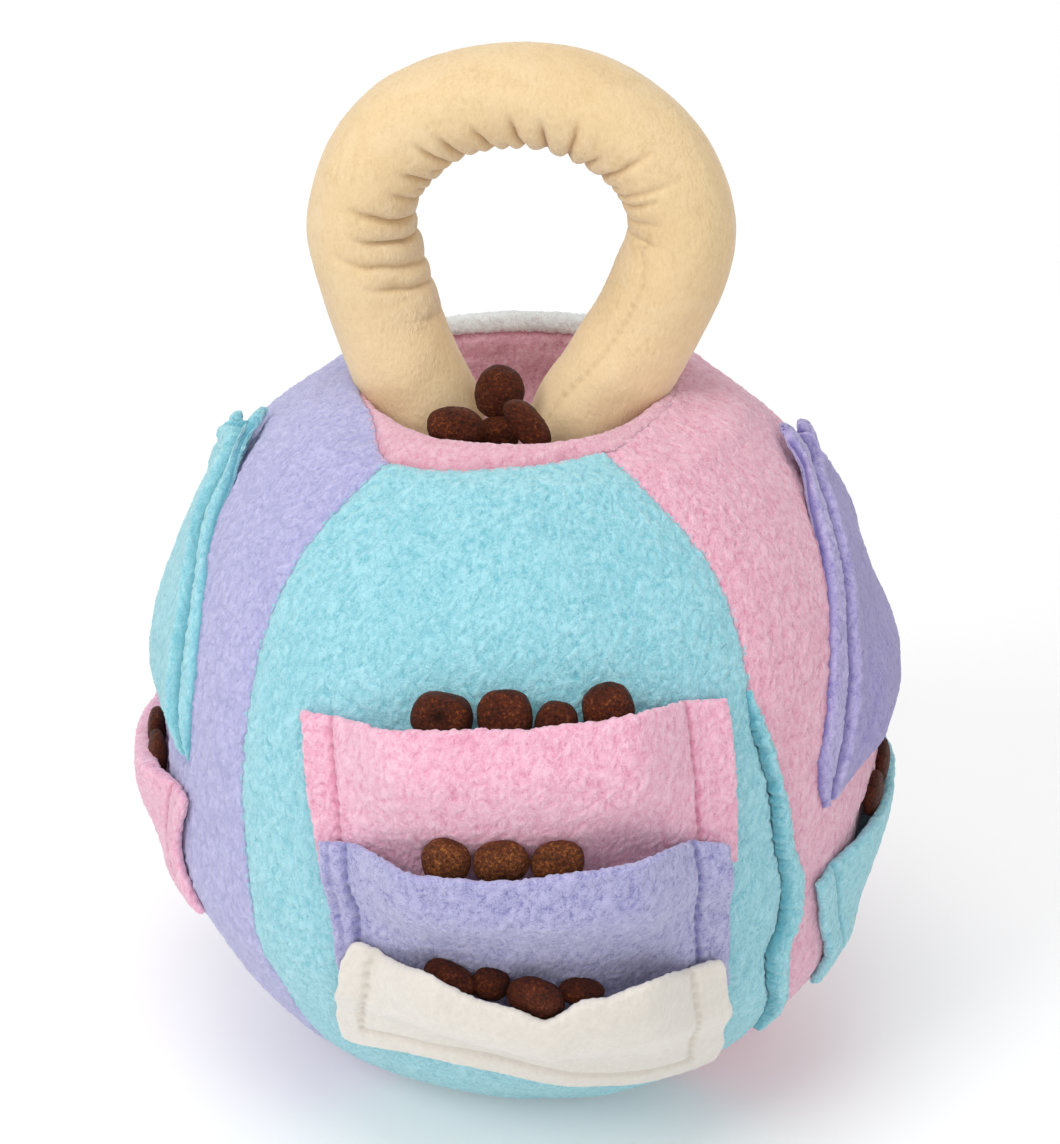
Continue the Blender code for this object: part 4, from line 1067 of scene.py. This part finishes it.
def kibble(name, body, centre, size, tilt, seed, mat=KIBBLE, dimple=0.0, squareness=2.2):
    """A baked piece: a thick, rounded, uneven disc with a grainy crust."""
    bm = bmesh.new()
    bmesh.ops.create_icosphere(bm, subdivisions=5 if COARSE == 1.0 else 4, radius=1.0)
    bm.verts.ensure_lookup_table()
    p = np.array([v.co for v in bm.verts])
    f = np.array([[v.index for v in face.verts] for face in bm.faces])
    bm.free()
    scale = np.array(size, float)
    n = (np.abs(p) ** squareness).sum(1) ** (1 / squareness)
    shape = p / n[:, None] * 0.985
    uneven = 0.06 * noise(p * 0.95 + seed, seed) + 0.02 * noise(p * 2.6, seed + 1)
    shape = shape * (1 + uneven)[:, None]
    verts = shape * scale
    normal = normals_of(verts, [f])
    crust = 0.07 * noise(verts / 1.1, seed + 2) + 0.08 * noise(verts / 0.55, seed + 3) + 0.06 * noise(verts / 0.33, seed + 4)
    pit = np.zeros(len(verts))
    if dimple:
        flat = np.hypot(verts[:, 0] / scale[0], verts[:, 2] / scale[2])
        pit = dimple * bump(flat, 0.34) * (verts[:, 1] < 0)
        crust = crust - pit
    verts = verts + normal * crust[:, None]
    turn = np.array(Matrix.Rotation(math.radians(tilt[2]), 3, "Z") @ Matrix.Rotation(math.radians(tilt[1]), 3, "Y") @ Matrix.Rotation(math.radians(tilt[0]), 3, "X"))
    verts = verts @ turn.T + np.array(centre)
    # the crease mark is the dimple, which the material darkens as painted shade
    return build(name, verts, [f], mat, body, [name.replace("food_", "kibble_")], {"crease": np.clip(pit / max(dimple, 1e-6), 0, 1) if dimple else pit})


def pocket_kibble(name, body, azimuth, z, off, size, roll, seed, lean=0.0, **more):
    nr, nz = ball_normal(z)
    pitch = lean - math.degrees(math.atan2(float(nz), float(nr)))
    kibble(name, body, on_ball(azimuth, z, off), size, (pitch, roll, azimuth), seed, **more)


for i, (a, z, off, w, h, roll) in enumerate(((-7.3, 115.6, 4.9, 6.3, 4.8, 3.0), (2.0, 116.2, 4.9, 5.7, 5.7, -6.0), (9.4, 114.4, 4.8, 4.4, 5.2, 14.0), (17.3, 117.0, 4.8, 5.4, 5.3, -14.0)), 1):
    pocket_kibble(f"food_front_top_{i}", "kibble_in_front_top", a, z, off, (w, 3.9, h), roll, 600 + 10 * i, dimple=0.7 if i == 1 else 0.0, squareness=2.8 if i == 1 else 2.35)
for i, (a, z, off, w, h, roll) in enumerate(((-5.6, 88.0, 7.9, 5.2, 4.9, 12.0), (1.8, 88.3, 7.9, 5.9, 4.7, -8.0), (9.3, 88.2, 7.9, 5.6, 4.8, -10.0)), 1):
    pocket_kibble(f"food_front_middle_{i}", "kibble_in_front_middle", a, z, off, (w, 3.6, h), roll, 650 + 10 * i, mat=KIBBLE_GOLD)
for i, (a, z, off, w, h, roll, lean) in enumerate(((-5.2, 60.6, 7.6, 6.0, 3.5, 27.0, 0.0), (0.3, 59.3, 6.0, 4.0, 3.6, 14.0, 0.0), (6.4, 58.9, 10.4, 6.3, 5.2, 30.0, 22.0), (12.8, 57.8, 7.4, 4.9, 2.4, 8.0, 0.0)), 1):
    pocket_kibble(f"food_front_low_{i}", "kibble_in_front_low", a, z, off, (w, 3.5, h), roll, 700 + 10 * i, lean)
for i, (a, z) in enumerate(((-76.0, 74.0), (-84.5, 73.6)), 1):
    pocket_kibble(f"food_left_low_{i}", "kibble_in_left_low", a, z, 1.0, (5.5, 2.1, 5.2), 0.0, 750 + 10 * i)
for i, (a, z) in enumerate(((78.0, 69.4), (87.0, 70.8)), 1):
    pocket_kibble(f"food_right_low_{i}", "kibble_in_right_low", a, z, 1.0, (5.5, 2.0, 4.7), 0.0, 780 + 10 * i)
for i, (x, y, z, size, tilt) in enumerate((
    (-12.0, -22.0, 155.9, (6.2, 4.2, 4.5), (-30, 6, 0)), (-3.8, -9.0, 158.7, (5.3, 4.4, 5.9), (-10, 16, 0)), (3.1, -20.9, 156.5, (3.4, 3.5, 6.7), (-20, -38, 14)), (-3.6, -15.4, 151.4, (4.6, 3.6, 4.2), (0, 0, 0)),
    (-12.4, -19.0, 144.9, (6.0, 5.2, 4.9), (0, 0, 0)), (0.4, -20.4, 144.9, (5.9, 5.2, 4.9), (0, 0, 0)), (12.4, -18.6, 144.9, (5.4, 4.8, 4.9), (0, 0, 0))), 1):
    kibble(f"food_mouth_{i}", "kibble_in_mouth", (x, y, z), size, tilt, 800 + 10 * i)

# --------------------------------------------------------- the foot patch stays

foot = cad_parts["base_patch"]
foot.data.materials.clear()
foot.data.materials.append(GORE_PINK)

# ----------------------------------------------------------- stage and light


def floor():
    """A flat pale floor, far wider than the toy."""
    me = bpy.data.meshes.new("floor")
    bm = bmesh.new()
    bmesh.ops.create_grid(bm, x_segments=1, y_segments=1, size=30.0)
    bm.to_mesh(me)
    bm.free()
    obj = bpy.data.objects.new("floor", me)
    bpy.context.scene.collection.objects.link(obj)
    m = Nodes("pale_floor")
    m.shader.inputs["Base Color"].default_value = (0.84, 0.84, 0.84, 1)
    m.shader.inputs["Roughness"].default_value = 0.9
    m.shader.inputs["Specular IOR Level"].default_value = 0.1
    m.shader.inputs["Emission Color"].default_value = (1, 1, 1, 1)
    m.shader.inputs["Emission Strength"].default_value = 0.14
    me.materials.append(m.mat)


floor()


def area_light(name, place, target, size, power, colour=(1, 1, 1)):
    data = bpy.data.lights.new(name, "AREA")
    data.shape = "DISK"
    data.size = size
    data.energy = power
    data.color = colour
    obj = bpy.data.objects.new(name, data)
    obj.location = place
    obj.rotation_euler = (Vector(target) - Vector(place)).to_track_quat("-Z", "Y").to_euler()
    bpy.context.scene.collection.objects.link(obj)


area_light("key", (-0.95, -1.05, 1.15), (0, 0, 0.1), 0.85, 9.7)
area_light("fill", (0.4, -1.55, 0.75), (0, 0, 0.1), 1.0, 6.1)
area_light("top", (-0.1, -0.3, 1.55), (0, 0, 0.1), 1.0, 8.1)
area_light("behind", (-0.2, 1.3, 0.8), (0, 0, 0.15), 0.9, 5.0)

world = bpy.data.worlds.new("studio")
bpy.context.scene.world = world
world.use_nodes = True
tree = world.node_tree
background = tree.nodes["Background"]
background.inputs["Color"].default_value = (1, 1, 1, 1)
background.inputs["Strength"].default_value = 0.5

# ------------------------------------------------------------------- camera

azimuth, elevation, roll, distance = math.radians(4.0), math.radians(25.89), math.radians(0.25), 0.9
back = Vector((math.sin(azimuth) * math.cos(elevation), -math.cos(azimuth) * math.cos(elevation), math.sin(elevation)))
right = (-back).cross(Vector((0, 0, 1))).normalized()
up = right.cross(-back)
right, up = right * math.cos(roll) + up * math.sin(roll), -right * math.sin(roll) + up * math.cos(roll)
camera_data = bpy.data.cameras.new("camera")
camera_data.lens = 128.83
camera_data.sensor_width = 36.0
camera_data.clip_start, camera_data.clip_end = 0.05, 100.0
camera = bpy.data.objects.new("camera", camera_data)
camera.matrix_world = Matrix.Translation(Vector((0.00223, 0, 0.11204)) + back * distance) @ Matrix((right, up, back)).transposed().to_4x4()
bpy.context.scene.collection.objects.link(camera)
bpy.context.scene.camera = camera

bpy.context.scene.view_settings.view_transform = "Standard"
bpy.context.scene.view_settings.look = "None"

bpy.context.view_layer.update()
